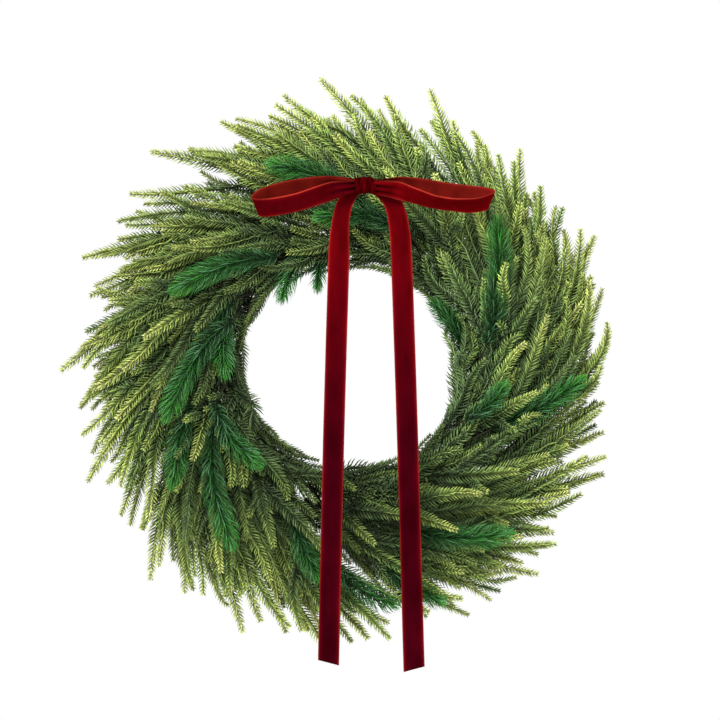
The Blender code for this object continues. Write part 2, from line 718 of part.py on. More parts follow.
def ring(parent, looks):
    """A six-sided bar turned about the depth axis, with one flat side facing in."""
    bm = bmesh.new()
    start = TOP + 180.0 / RING_SEGMENTS
    corners = []
    for k in range(RING_SIDES):
        a = (k + 0.5) * 2 * math.pi / RING_SIDES
        reach = RING_RADIUS + RING_CORNER * math.cos(a)
        corners.append(bm.verts.new(polar(start, reach, RING_CORNER * math.sin(a))))
    edges = [bm.edges.new((corners[k], corners[(k + 1) % RING_SIDES])) for k in range(RING_SIDES)]
    bmesh.ops.spin(bm, geom=corners + edges, cent=(0, 0, 0), axis=(0, 1, 0), angle=2 * math.pi,
                   steps=RING_SEGMENTS, use_merge=True, use_duplicate=False)
    bmesh.ops.remove_doubles(bm, verts=bm.verts, dist=1e-5)
    bmesh.ops.recalc_face_normals(bm, faces=bm.faces)
    mesh = bpy.data.meshes.new("frame_ring")
    bm.to_mesh(mesh)
    bm.free()
    place("frame_ring", mesh, (0, 0, 0), looks, parent)


def tube_of_four(corner_rows):
    """The faces of a closed bar through rows of four corners."""
    verts = [corner for row in corner_rows for corner in row]
    faces = [(3, 2, 1, 0)]
    for k in range(len(corner_rows) - 1):
        for c in range(4):
            a, b = 4 * k + c, 4 * k + (c + 1) % 4
            faces += [(a, b, b + 4), (a, b + 4, a + 4)]
    last = 4 * (len(corner_rows) - 1)
    faces.append((last, last + 1, last + 2, last + 3))
    return verts, faces


def tie_wire(parent, looks):
    rail = Rail(tie_path())
    corners = []
    for k in range(len(rail.points)):
        turns = [(c + 0.5) * math.pi / 2 for c in range(4)]
        corners.append([rail.points[k] + TIE_RADIUS * (math.cos(a) * rail.across[k]
                                                       + math.sin(a) * rail.normal[k]) for a in turns])
    verts, faces = tube_of_four(corners)
    skin_object("bow_tie_wire", verts, faces, rail.points[0], looks, parent)


def strip(name, path, wide_way, widths, looks, parent, slant=0.0):
    """A ribbon along its middle line, with its width's direction and size, and its end cut aslant."""
    along = Rail(path).along
    corners = []
    for k in range(len(path)):
        wide = across_part(wide_way[k], along[k]) * widths[k] / 2
        thick = unit(np.cross(along[k], wide)) * RIBBON_THICK / 2
        cut = along[k] * (slant if k == len(path) - 1 else 0.0)
        corners.append([path[k] + u * (wide + cut) + v * thick
                        for u, v in ((-1, -1), (1, -1), (1, 1), (-1, 1))])
    verts, faces = tube_of_four(corners)
    skin_object(name, verts, faces, path[0], looks, parent)


def ribbon(parent, looks):
    for side, word in ((-1, "left"), (1, "right")):
        path, ways = loop_path(side)
        widths = np.interp(np.abs(path[:, 0] - KNOT[0]), (0.012, 0.035), (0.012, RIBBON))
        strip(f"bow_loop_{word}", path, ways, widths, looks, parent)
        tail = tail_path(side)
        widths = np.interp(lengths(tail), (0.0, 0.024), (0.009, RIBBON))
        wide_way = [np.cross(a, DEPTHWAYS) for a in Rail(tail).along]
        strip(f"ribbon_tail_{word}", tail, wide_way, widths, looks, parent, side * TAIL_SLANT)


def knot(parent, looks):
    """A small block of wrapped ribbon, rounded, with folds across its front."""
    bm = bmesh.new()
    bmesh.ops.create_uvsphere(bm, u_segments=16, v_segments=10, radius=1.0)
    for v in bm.verts:
        p = np.array(v.co)
        folds = 1.0 + 0.05 * math.cos(5 * math.atan2(p[2], p[1]) + 1.0) * (1.0 - abs(p[0]))
        v.co = Vector(np.sign(p) * np.abs(p) ** 0.62 * KNOT_HALF * folds)
    bmesh.ops.recalc_face_normals(bm, faces=bm.faces)
    mesh = bpy.data.meshes.new("bow_knot")
    bm.to_mesh(mesh)
    bm.free()
    place("bow_knot", mesh, KNOT, looks, parent)


def build():
    clear_scene()
    centre = bpy.data.objects.new("wreath_centre", None)
    centre.location = (0.0, 0.0, RING_CENTRE_Z)
    bpy.context.scene.collection.objects.link(centre)
    velvet = material("velvet_red", (0.13, 0.002, 0.004), 0.9)
    ring(centre, material("frame_brown", (0.06, 0.035, 0.02), 0.8))
    tie_wire(centre, material("tie_wire", (0.05, 0.09, 0.04), 0.4, 0.6))
    knot(centre, velvet)
    ribbon(centre, velvet)
    foliage(centre, {"pine": material("pine_green", (0.10, 0.16, 0.035), 0.55),
                     "fir": material("fir_green", (0.035, 0.12, 0.03), 0.5)})


build()
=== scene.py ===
"""The finished look of the evergreen wreath with its velvet ribbon bow.

Every stem follows the route that the CAD model gives it, worked out here again about the ring's centre
by angle on the dial (degrees, anticlockwise from the right as seen from the front), reach and depth.
Finer needles, filling branches, velvet, tape and light are added to it. Metres, +Z up, front to -Y.
"""

import math

import bpy
import numpy as np
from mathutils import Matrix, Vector
from mathutils.kdtree import KDTree


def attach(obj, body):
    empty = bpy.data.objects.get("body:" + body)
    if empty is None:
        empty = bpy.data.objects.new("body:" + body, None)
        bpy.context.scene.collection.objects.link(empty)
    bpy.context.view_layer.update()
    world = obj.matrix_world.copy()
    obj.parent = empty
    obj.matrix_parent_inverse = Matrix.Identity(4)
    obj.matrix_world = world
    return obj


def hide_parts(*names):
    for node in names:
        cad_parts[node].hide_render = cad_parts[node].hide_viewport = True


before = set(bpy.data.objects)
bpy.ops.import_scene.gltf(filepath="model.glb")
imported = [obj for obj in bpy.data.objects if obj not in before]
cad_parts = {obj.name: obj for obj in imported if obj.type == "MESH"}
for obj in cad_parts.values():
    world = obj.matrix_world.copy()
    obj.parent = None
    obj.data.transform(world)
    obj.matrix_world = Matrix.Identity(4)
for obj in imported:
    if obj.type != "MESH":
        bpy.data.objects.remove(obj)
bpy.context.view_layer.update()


def table(fields, **rows):
    """Rows of values by name, each with its fields' names."""
    return {name: dict(zip(fields, row)) for name, row in rows.items()}


SEED = 24
EXTRA_SEED = 7
LOOK_SEED = 11
GAP = 0.0003
DEPTHWAYS = np.array((0.0, 1.0, 0.0))

# The wire ring, wound with tape
RING_RADIUS = 0.125
RING_HALF = 0.003
RING_SEGMENTS = 48
RING_SIDES = 6
RING_CORNER = RING_HALF / math.cos(math.pi / RING_SIDES)
RING_CENTRE_Z = -(RING_RADIUS - RING_HALF) * math.cos(math.pi / RING_SEGMENTS)
TOP = 90.0

# Stems, and how they hook round the ring
STEM_RADIUS = 0.0012
HOOK_STEPS = 4
HOOK_STEP = math.pi / HOOK_STEPS
HOOK_RADIUS = (RING_CORNER + GAP + STEM_RADIUS) / math.cos(HOOK_STEP / 2)
HOOK_PITCH = 0.0025
ROOT_SPACING = 5.2
TOP_CLEAR = 6.0
BACK = 1.0
FRONT = -1.0

# How much room the stems of each kind keep about them
PINE = 0.0047
FIR = 0.0075
EXTRA = 0.0040
POINT_STEP = 0.007
# How often neighbouring stems are pushed apart, within what distance of each other, by what share of
# their lack of room each way and how far at most; near its root a stem is held over this length
ROUNDS = 96
NEAR = 0.019
PUSH = np.array((0.35, 0.6, 0.35))
PUSH_MOST = 0.004
HELD_LONG = 0.045
SIDE_BARE = 0.016
SWIRL_AT_RING = 50.0
SWIRL_AT_TIP = 37.0
BACK_PLANE = 0.024

# Tips of the pine branches: angle on the dial, reach in millimetres
OUTER_TIPS = (
    (4, 283), (28, 304), (52, 303), (74, 316), (96, 318), (118, 303), (133, 322), (158, 316),
    (181, 318), (204, 315), (227, 322), (248, 314), (267, 322), (312, 307), (337, 303),
)
MIDDLE_TIPS = (
    (15, 262), (44, 258), (84, 270), (108, 268), (145, 264), (170, 268), (193, 262), (238, 266),
    (258, 258), (292, 268), (325, 262),
)
FRONT_TIPS = (
    (20, 216), (66, 228), (128, 226), (172, 226), (211, 200), (247, 212), (278, 196), (303, 212),
    (328, 216), (352, 204),
)
INNER_TIPS = ((20, 138), (97, 124), (247, 130), (292, 126))
# Fir sprays: where the needles begin and end (angle, reach), and how far forward they lie
FIR_SPRAYS = (
    ((93, 196), (111, 234), 44), ((128, 150), (156, 206), 58), ((112, 136), (134, 106), 34),
    ((70, 160), (101, 166), 52), ((10, 126), (36, 114), 30), ((14, 158), (44, 222), 50),
    ((164, 146), (195, 206), 60), ((156, 146), (183, 136), 48), ((202, 154), (226, 146), 54),
    ((209, 172), (236, 232), 56), ((341, 184), (356, 250), 44), ((294, 200), (313, 250), 46),
)
FIR_LEAD = 5.0
# The layers of pine branches. A fork is a side sprig: how far its tip lies round the dial from the
# branch's own, how much nearer the middle, and where on the stem it leaves. Bare is the stem's share
# without needles, slope how steeply the tip leans back, and end how far it is turned from outward.
LAYERS = table(
    ("tips", "depth", "vary", "side", "slope", "bare", "end", "forks"),
    outer=(OUTER_TIPS, 0.006, 0.010, BACK, 0.06, 0.46, SWIRL_AT_TIP,
           ((8.0, 0.016, 0.46), (-7.5, 0.028, 0.56))),
    middle=(MIDDLE_TIPS, -0.026, 0.006, FRONT, -0.10, 0.38, SWIRL_AT_TIP,
            ((10.5, 0.014, 0.42), (-10.0, 0.022, 0.54))),
    front=(FRONT_TIPS, -0.056, 0.008, FRONT, -0.32, 0.28, SWIRL_AT_TIP,
           ((14.0, 0.010, 0.36), (-12.0, 0.016, 0.50))),
    inner=(INNER_TIPS, -0.024, 0.004, FRONT, -0.06, 0.22, 78.0, ((-12.0, -0.014, 0.40),)),
)
INNER_LEAD = 36.0
# How loosely the side sprigs keep to that: degrees and metres (the depth as far as the layer's varies)
FORK_LOOSE = (1.5, 0.006)

# The ribbon bow
RIBBON = 0.023
RIBBON_THICK = 0.001
KNOT = np.array((0.016, -0.092, 0.195))
KNOT_HALF = np.array((0.0108, 0.0075, 0.0092))
# Each loop's length, and its route out along the front, round its end and back behind: how far out
# (of its length), how far forward or back and how high (metres), and how far its top leans forward
LOOPS = {
    -1: {"long": 0.107, "route": (
        (0.00, -0.0017, -0.0021, 34), (0.18, -0.0045, -0.0050, 34), (0.34, -0.0090, -0.0102, 35),
        (0.56, -0.0122, -0.0182, 36), (0.76, -0.0125, -0.0228, 34), (0.93, -0.0080, -0.0246, 30),
        (1.00, 0.0000, -0.0222, 26), (0.93, 0.0080, -0.0142, 28), (0.76, 0.0125, -0.0072, 32),
        (0.56, 0.0122, -0.0024, 34), (0.34, 0.0090, 0.0004, 34), (0.18, 0.0045, 0.0006, 34),
        (0.00, 0.0017, 0.0001, 34))},
    1: {"long": 0.1255, "route": (
        (0.00, -0.0017, -0.0021, 34), (0.18, -0.0045, -0.0054, 40), (0.32, -0.0090, -0.0107, 50),
        (0.50, -0.0122, -0.0180, 57), (0.68, -0.0125, -0.0214, 56), (0.86, -0.0100, -0.0218, 44),
        (1.00, 0.0000, -0.0164, 28), (0.93, 0.0080, -0.0124, 28), (0.78, 0.0120, -0.0096, 32),
        (0.60, 0.0125, -0.0062, 35), (0.40, 0.0105, -0.0018, 36), (0.20, 0.0050, 0.0004, 36),
        (0.00, 0.0017, 0.0001, 34))},
}
LOOP_SPLAY = 0.35
# Each tail's route: how far out from the knot's middle and how far down
TAIL_ROUTES = {
    -1: ((0.0035, 0.002), (0.0125, 0.006), (0.0200, 0.016), (0.0243, 0.029),
         (0.0270, 0.050), (0.0282, 0.085), (0.0335, 0.270), (0.0392, 0.516)),
    1: ((0.0035, 0.002), (0.0150, 0.004), (0.0260, 0.012), (0.0330, 0.025),
        (0.0375, 0.047), (0.0400, 0.085), (0.0462, 0.270), (0.0534, 0.523)),
}
# Between these distances out a tail sinks this far back
TAIL_SINKS = (0.0035, 0.020)
TAIL_BEHIND = 0.0052
TAIL_SLANT = 0.0027
TIE_RADIUS = 0.0008
TIE_CLOCK = 83.0
# The room that the foliage leaves about the bow's parts and the hook's seat
TIE_CLEAR = 0.004
TAIL_CLEAR = 0.0105
LOOP_CLEAR = 0.016
SEAT_CLEAR = 0.010


# Directions and curves

def outward(clock):
    a = math.radians(clock)
    return np.array((math.cos(a), 0.0, math.sin(a)))


def around(clock):
    a = math.radians(clock)
    return np.array((-math.sin(a), 0.0, math.cos(a)))


def polar(clock, reach, depth):
    return reach * outward(clock) + depth * DEPTHWAYS


def unit(v):
    return v / np.linalg.norm(v)


def units(v):
    return v / np.linalg.norm(v, axis=-1, keepdims=True)


def turned(angle, first, second):
    """Directions turned by each angle from the first towards the second."""
    return np.cos(angle)[:, None] * first + np.sin(angle)[:, None] * second


def across_part(v, way):
    """What is left of v once its part along a direction is taken away, at unit length."""
    return unit(v - way * np.dot(v, way))


def bezier(p0, p1, p2, p3, count):
    t = np.linspace(0.0, 1.0, count)[:, None]
    s = 1.0 - t
    return s ** 3 * p0 + 3 * s * s * t * p1 + 3 * s * t * t * p2 + t ** 3 * p3


def lengths(points):
    steps = np.linalg.norm(np.diff(points, axis=0), axis=1)
    return np.concatenate(([0.0], np.cumsum(steps)))


def points_at(points, run, at):
    """Points at distances along a row whose own distances are run."""
    return np.stack([np.interp(at, run, points[:, k]) for k in range(3)], axis=-1)


def resampled(points, spacing):
    run = lengths(points)
    count = max(3, int(round(run[-1] / spacing)) + 1)
    return points_at(points, run, np.linspace(0.0, run[-1], count))


def smooth_path(points, count):
    """A curve through a few chosen points (Catmull-Rom), at even steps."""
    ends = np.concatenate((2 * points[:1] - points[1:2], points, 2 * points[-1:] - points[-2:-1]))
    t = np.linspace(0, 1, 12, endpoint=False)[:, None]
    rows = []
    for k in range(1, len(ends) - 2):
        a, b, c, d = ends[k - 1:k + 3]
        rows.append(0.5 * (2 * b + (c - a) * t + (2 * a - 5 * b + 4 * c - d) * t ** 2
                           + (3 * b - a - 3 * c + d) * t ** 3))
    dense = np.concatenate(rows + [points[-1:]])
    return resampled(dense, lengths(dense)[-1] / (count - 1))


class Rail:
    """A row of points with a direction along and two across, carried along without twisting."""

    def __init__(self, points):
        self.points = points
        self.run = lengths(points)
        self.along = units(np.gradient(points, axis=0))
        first = np.cross(self.along[0], DEPTHWAYS)
        if np.linalg.norm(first) < 0.2:
            first = np.cross(self.along[0], (1.0, 0.0, 0.0))
        self.across = np.empty_like(self.along)
        self.across[0] = unit(first)
        for k in range(1, len(points)):
            self.across[k] = across_part(self.across[k - 1], self.along[k])
        self.normal = np.cross(self.along, self.across)

    def at(self, s):
        """The points, and the three directions, at distances along."""
        ways = [units(points_at(way, self.run, s)) for way in (self.along, self.across, self.normal)]
        return points_at(self.points, self.run, s), *ways


# Laying out the stems, as the CAD model does

def lead_angle(reach):
    """How far round the dial a swirling stem travels between the ring and this reach."""
    mean = math.radians((SWIRL_AT_RING + SWIRL_AT_TIP) / 2)
    return math.degrees(math.tan(mean) * math.log(max(reach, RING_RADIUS) / RING_RADIUS))


def tip_heading(clock, slope, swirl):
    a = math.radians(swirl)
    return unit(math.cos(a) * outward(clock) + math.sin(a) * around(clock) + slope * DEPTHWAYS)


def below_top(clock):
    """The same angle, counted so that the ring's top is where the count ends."""
    clock %= 360.0
    return clock - 360.0 if clock > TOP else clock


def spread_roots(wanted):
    """Even out the roots on the ring: clear of each other, of the hook's seat and of the tie wire."""
    order = np.argsort(wanted)
    roots = np.array(wanted, float)[order]
    for _ in range(400):
        for k in range(len(roots) - 1):
            lack = ROOT_SPACING - (roots[k + 1] - roots[k])
            if lack > 0.0:
                roots[k] -= lack / 2
                roots[k + 1] += lack / 2
        roots[0] = max(roots[0], TOP - 360.0 + TOP_CLEAR)
        roots[-1] = min(roots[-1], TIE_CLOCK - ROOT_SPACING / 2)
    placed = np.empty_like(roots)
    placed[order] = roots
    return placed


def ring_reach(clock):
    """Distance to the ring's centre line, which has straight sides."""
    side = 360.0 / RING_SEGMENTS
    off = (clock - TOP + side / 2) % side - side / 2
    return RING_RADIUS * math.cos(math.pi / RING_SEGMENTS) / math.cos(math.radians(off))


def hook(root, side):
    """Half a turn of stem round the ring's inner side, ending where it leaves outward."""
    points = []
    for k in range(HOOK_STEPS + 1):
        turn = k * HOOK_STEP
        reach = ring_reach(root) - HOOK_RADIUS * math.sin(turn)
        along = HOOK_PITCH * (k / HOOK_STEPS - 1.0)
        points.append(polar(root, reach, -side * HOOK_RADIUS * math.cos(turn)) + around(root) * along)
    return np.array(points)


def pine_plant(name, layer, kind, rule, tip, root, draw, loose):
    """A pine branch by its tip and its root on the ring, with its side sprigs' tips drawn loosely."""
    sides = []
    for spread, short, fork in rule["forks"]:
        clock, reach, depth = [at + draw.uniform(-off, off)
                               for at, off in zip((tip[0] + spread, tip[1] - short, tip[2]), loose)]
        sides.append(((clock, reach, depth), fork))
    return {"name": name, "layer": layer, "kind": kind, "side": rule["side"], "root": root,
            "rule": rule, "tip": tip, "sides": sides}


def pine_branches():
    """The CAD model's pine branches, with the place where each would root on the ring."""
    draw = np.random.default_rng(SEED)
    branches = []
    for layer, rule in LAYERS.items():
        for number, (clock, reach_mm) in enumerate(rule["tips"], 1):
            swing = 1 if number % 2 else -1
            tip = (clock, reach_mm * 0.001, rule["depth"] + rule["vary"] * swing * draw.uniform(0.5, 1.0))
            lead = INNER_LEAD if layer == "inner" else lead_angle(tip[1])
            branches.append(pine_plant(f"pine_branch_{layer}_{number:02d}", layer, PINE, rule, tip,
                                       below_top(clock - lead), draw, FORK_LOOSE + (rule["vary"],)))
    return branches


def fir_plants(word, rows, kind, lead):
    """Fir sprays, whose needles begin this much further round than a swirling stem would reach."""
    return [{"name": f"{word}_{number:02d}", "layer": "fir", "kind": kind, "side": FRONT,
             "root": below_top(base[0] - lead_angle(base[1] * 0.001) - lead),
             "base": base, "tip": tip, "depth": -forward * 0.001}
            for number, (base, tip, forward) in enumerate(rows, 1)]


def strand(plant, points, bare, joint=None):
    """A sprig's points, the bare share of it, and for a side sprig the point of the main one it leaves."""
    return {"node": plant["name"], "kind": plant["kind"], "points": resampled(points, POINT_STEP),
            "bare": bare, "joint": joint, "layer": plant["layer"]}


def leaving(root, lean):
    """The way in which a stem leaves its hook: outward, part round the ring, and leaning."""
    return unit(outward(root) * 0.8 + around(root) * 0.6 + lean * DEPTHWAYS)


def lay_branch(branch):
    """The main sprig's strand and its side sprigs' strands, as they leave the hook's end."""
    rule = branch["rule"]
    clock, reach, depth = branch["tip"]
    start = hook(branch["root"], rule["side"])[-1]
    tip = polar(clock, reach, depth)
    far = np.linalg.norm(tip - start)
    leave = leaving(branch["root"], 0.9 * (depth - start[1]) / far)
    end = tip_heading(clock, rule["slope"], rule["end"])
    main = strand(branch, bezier(start, start + leave * far * 0.32, tip - end * far * 0.36, tip, 60),
                  rule["bare"])
    strands = [main]
    for (side_clock, side_reach, side_depth), fork in branch["sides"]:
        joint = int(fork * len(main["points"]))
        origin = main["points"][joint]
        along = unit(main["points"][joint + 1] - origin)
        side_tip = polar(side_clock, side_reach, side_depth)
        away = unit(along + 0.42 * across_part(side_tip - tip, along))
        far = np.linalg.norm(side_tip - origin)
        end = tip_heading(side_clock, rule["slope"], rule["end"] * 0.9)
        points = bezier(origin, origin + away * far * 0.34, side_tip - end * far * 0.36, side_tip, 40)
        strands.append(strand(branch, points, SIDE_BARE / lengths(points)[-1], joint))
    return strands


def lay_spray(spray):
    (base_clock, base_mm), (tip_clock, tip_mm) = spray["base"], spray["tip"]
    start = hook(spray["root"], FRONT)[-1]
    base = polar(base_clock, base_mm * 0.001, spray["depth"] * 0.8)
    tip = polar(tip_clock, tip_mm * 0.001, spray["depth"])
    heading = unit(tip - base)
    bow = unit(heading + 0.35 * outward(base_clock))
    gap = np.linalg.norm(base - start)
    long = np.linalg.norm(tip - base)
    leave = leaving(spray["root"], (base[1] - start[1]) / max(gap, 0.02))
    stem = bezier(start, start + leave * gap * 0.4, base - bow * gap * 0.35, base, 20)
    needled = bezier(base, base + bow * long * 0.33,
                     tip - unit(heading - 0.2 * outward(tip_clock)) * long * 0.33, tip, 40)
    return [strand(spray, np.concatenate((stem, needled[1:])),
                   lengths(stem)[-1] / (lengths(stem)[-1] + lengths(needled)[-1]))]


def tail_route(side, count):
    """A tail's middle line from the knot's: sideways from behind it, over, and straight down."""
    behind = KNOT_HALF[1] + GAP + RIBBON_THICK / 2
    points = [(side * out, behind + np.interp(out, TAIL_SINKS, (0.0, TAIL_BEHIND)), -drop)
              for out, drop in TAIL_ROUTES[side]]
    return smooth_path(np.array(points), count)


def coarse_tail(side):
    """The tail's middle line as the CAD model has it, with more points near the knot."""
    dense = tail_route(side, 200)
    run = lengths(dense)
    at = np.concatenate((np.linspace(0.0, 0.1, 12), np.linspace(0.16, run[-1], 5)))
    return KNOT + points_at(dense, run, at)


def loop_path(side, count):
    """A bow loop's middle line, and the way its width lies at each point of it."""
    long = LOOPS[side]["long"]
    chosen = np.array([(side * (KNOT_HALF[0] + GAP + out * long), deep, high)
                       for out, deep, high, _ in LOOPS[side]["route"]])
    path = smooth_path(chosen, count)
    run, chosen_run = lengths(path), lengths(chosen)
    lean = np.radians(np.interp(run / run[-1], chosen_run / chosen_run[-1],
                                [lean for _, _, _, lean in LOOPS[side]["route"]]))
    ways = np.stack((np.full(len(path), side * LOOP_SPLAY), -np.sin(lean), np.cos(lean)), axis=1)
    return KNOT + path, ways


def tie_path():
    """The wire that holds the bow: hooked round the ring, then up to the back of the knot."""
    reach = ring_reach(TIE_CLOCK)
    clear = (RING_CORNER + GAP + TIE_RADIUS) / math.cos(HOOK_STEP / 2)
    points = [polar(TIE_CLOCK, reach - clear * math.sin(k * HOOK_STEP), clear * math.cos(k * HOOK_STEP))
              for k in range(HOOK_STEPS + 1)]
    behind = KNOT + (KNOT_HALF[1] + GAP + TIE_RADIUS) * DEPTHWAYS
    points += [polar(TIE_CLOCK, reach + 0.012, -0.016), behind + np.array((0.0, 0.020, -0.030)),
               behind + np.array((0.0, 0.002, -0.008)), behind + np.array((0.0, 0.0, 0.004))]
    return np.array(points)


def obstacles():
    """Where the foliage must not go: round the tie wire, behind the bow, and about the hook's seat."""
    rows = [(resampled(tie_path()[HOOK_STEPS // 2:], 0.006), TIE_CLEAR)]
    for side in (-1, 1):
        for shift in (-0.006, 0.006):
            rows.append((resampled(coarse_tail(side), 0.008) + np.array((shift, 0.0, 0.0)), TAIL_CLEAR))
        end = KNOT + np.array((side * (LOOPS[side]["long"] + 0.011), 0.004, -0.021))
        for lift in (-0.006, 0.008):
            rows.append((resampled(np.array((KNOT, end)), 0.008) + np.array((0.0, 0.0, lift)), LOOP_CLEAR))
    rows.append((np.array([polar(TOP, RING_RADIUS, depth) for depth in (-0.006, 0.004)]), SEAT_CLEAR))
    points = np.concatenate([row for row, _ in rows])
    radius = np.concatenate([np.full(len(row), r) for row, r in rows])
    return points, radius


def neighbours(points, owner, reach):
    """Pairs of points of different nodes that lie within reach of each other."""
    tree = KDTree(len(points))
    for k, p in enumerate(points):
        tree.insert(p, k)
    tree.balance()
    pairs = [(k, j) for k, p in enumerate(points) for _, j, _ in tree.find_range(p, reach)
             if owner[j] != owner[k]]
    return np.array(pairs).T


def settle(strands, rounds, held):
    """Push neighbouring stems apart, with their roots held, and the first strands held altogether."""
    fixed, fixed_radius = obstacles()
    counts = [len(s["points"]) for s in strands]
    first = np.cumsum([0] + counts)
    nodes = sorted({s["node"] for s in strands})
    owner = np.repeat([nodes.index(s["node"]) for s in strands], counts)
    radius = np.repeat([s["kind"] for s in strands], counts)
    free = np.concatenate([np.ones(len(s["points"])) if s["joint"] is not None else
                           np.clip(lengths(s["points"]) / HELD_LONG, 0, 1) for s in strands])
    free[:first[held]] = 0.0
    points = np.concatenate([s["points"] for s in strands])
    for turn in range(rounds):
        if turn % 8 == 0:
            a, b = neighbours(points, owner, NEAR)
            share = free[a] / (free[a] + free[b] + 1e-6)
            want = radius[a] + radius[b]
        between = points[a] - points[b]
        gap = np.linalg.norm(between, axis=1) + 1e-9
        move = np.zeros_like(points)
        np.add.at(move, a, between * (np.maximum(want - gap, 0.0) / gap * share)[:, None])
        between = points[:, None, :] - fixed[None, :, :]
        gap = np.sqrt((between ** 2).sum(2)) + 1e-9
        push = np.maximum(radius[:, None] + fixed_radius[None, :] - gap, 0.0) / gap
        move += (between * push[:, :, None]).sum(1)
        move = np.clip(move * PUSH, -PUSH_MOST, PUSH_MOST) * free[:, None]
        main = 0
        for k, s in enumerate(strands):
            m = move[first[k]:first[k + 1]]
            for _ in range(3):
                m[1:-1] = (m[:-2] + 2 * m[1:-1] + m[2:]) / 4
            if s["joint"] is None:
                main = k
            elif k >= held:
                off = points[first[main] + s["joint"]] - points[first[k]] - m[0]
                m += off * np.linspace(1.0, 0.0, len(m))[:, None] ** 2
            if k >= held:
                points[first[k]:first[k + 1]] += m
        points[:, 1] = np.minimum(points[:, 1], BACK_PLANE)
    for k, s in enumerate(strands):
        s["points"] = points[first[k]:first[k + 1]].copy()


# Extra branches, rooted in the gaps between the CAD model's
EXTRAS = table(
    ("reach", "depth", "lead", "side", "slope", "bare", "end", "forks"),
    rim=((0.108, 0.115), (-0.030, -0.006), (44.0, 60.0), FRONT, -0.04, 0.08, 84.0,
         ((-14.0, -0.012, 0.34),)),
    fringe=((0.150, 0.190), (-0.048, -0.010), (22.0, 36.0), FRONT, -0.20, 0.08, 52.0,
            ((16.0, 0.012, 0.28), (-14.0, 0.008, 0.40))),
    mid=((0.198, 0.264), (-0.044, -0.010), (0.0, 8.0), FRONT, -0.12, 0.27, 38.0,
         ((12.0, 0.016, 0.34), (-11.0, 0.024, 0.46))),
    crown=((0.270, 0.301), (-0.024, -0.002), (0.0, 6.0), FRONT, -0.02, 0.42, 38.0,
           ((10.0, 0.012, 0.46), (-9.5, 0.018, 0.56))),
    back=((0.268, 0.303), (0.000, 0.016), (0.0, 5.0), BACK, 0.05, 0.36, 37.0,
          ((9.0, 0.012, 0.42), (-8.5, 0.020, 0.52))),
    under=((0.214, 0.274), (-0.010, 0.012), (0.0, 8.0), BACK, 0.0, 0.30, 37.0,
           ((12.0, 0.014, 0.34), (-11.0, 0.022, 0.44), (6.0, 0.050, 0.26))),
)
EXTRA_LOOSE = (3.0, 0.010, 0.012)
EXTRA_ROUNDS = 40
# The foliage reaches this much further than its mean at this angle on the dial, and less far opposite
LOPSIDED_CLOCK = 225.0
LOPSIDED = 0.007
EXTRA_ORDER = ("back", "fringe", "under", "mid", "rim", "crown", "fringe", "under", "back", "mid",
               "fringe", "crown", "rim", "under", "mid", "back", "fringe", "crown", "under")
EXTRAS_A_GAP = 5
# How far their tips turn aside at most, in degrees
EXTRA_TURN = 24.0
RIM_TURN = 8.0
# At the right, about this angle on the dial, the tips curl this much further round
RIGHT_CLOCK = 18.0
RIGHT_CURL = 34.0
# How much further from the middle the rim lies at the sides than at the top and bottom
RIM_WIDER = 0.012
EXTRA_FIR = (
    ((105, 122), (112, 94), 30), ((199, 190), (214, 229), 40), ((254, 197), (262, 232), 52),
    ((270, 236), (280, 263), 36), ((285, 246), (291, 272), 34), ((340, 148), (352, 168), 60),
)
EXTRA_FIR_LEAD = 4.0


def extra_branches(roots):
    """Branches from the gaps between the CAD model's roots, a few to a gap, and small fir sprays."""
    draw = np.random.default_rng(EXTRA_SEED)
    ordered = np.sort(roots)
    branches = []
    for gap, (low, high) in enumerate(zip(ordered[:-1], ordered[1:])):
        for k in range(EXTRAS_A_GAP):
            number = gap * EXTRAS_A_GAP + k
            root = low + (high - low) * (k + 1) / (EXTRAS_A_GAP + 1)
            layer = EXTRA_ORDER[number % len(EXTRA_ORDER)]
            turn = draw.uniform(-1.0, 1.0) * (RIM_TURN if layer == "rim" else EXTRA_TURN)
            reach = draw.uniform(*EXTRAS[layer]["reach"])
            swirl = 0.0 if layer in ("rim", "fringe") else lead_angle(reach)
            clock = root + draw.uniform(*EXTRAS[layer]["lead"]) + swirl
            if layer == "rim":
                reach += RIM_WIDER * math.cos(math.radians(clock)) ** 2
            elif layer != "fringe":
                turn += RIGHT_CURL * max(0.0, math.cos(math.radians(clock - RIGHT_CLOCK))) ** 4
                reach += LOPSIDED * math.cos(math.radians(clock - LOPSIDED_CLOCK))
            rule = dict(EXTRAS[layer], end=EXTRAS[layer]["end"] + turn)
            tip = (clock, reach, draw.uniform(*rule["depth"]))
            branches.append(pine_plant(f"pine_extra_{layer}_{number + 1:03d}", layer, EXTRA, rule, tip,
                                       root, draw, EXTRA_LOOSE))
    return branches + fir_plants("fir_extra", EXTRA_FIR, EXTRA, EXTRA_FIR_LEAD)


# Meshes from arrays

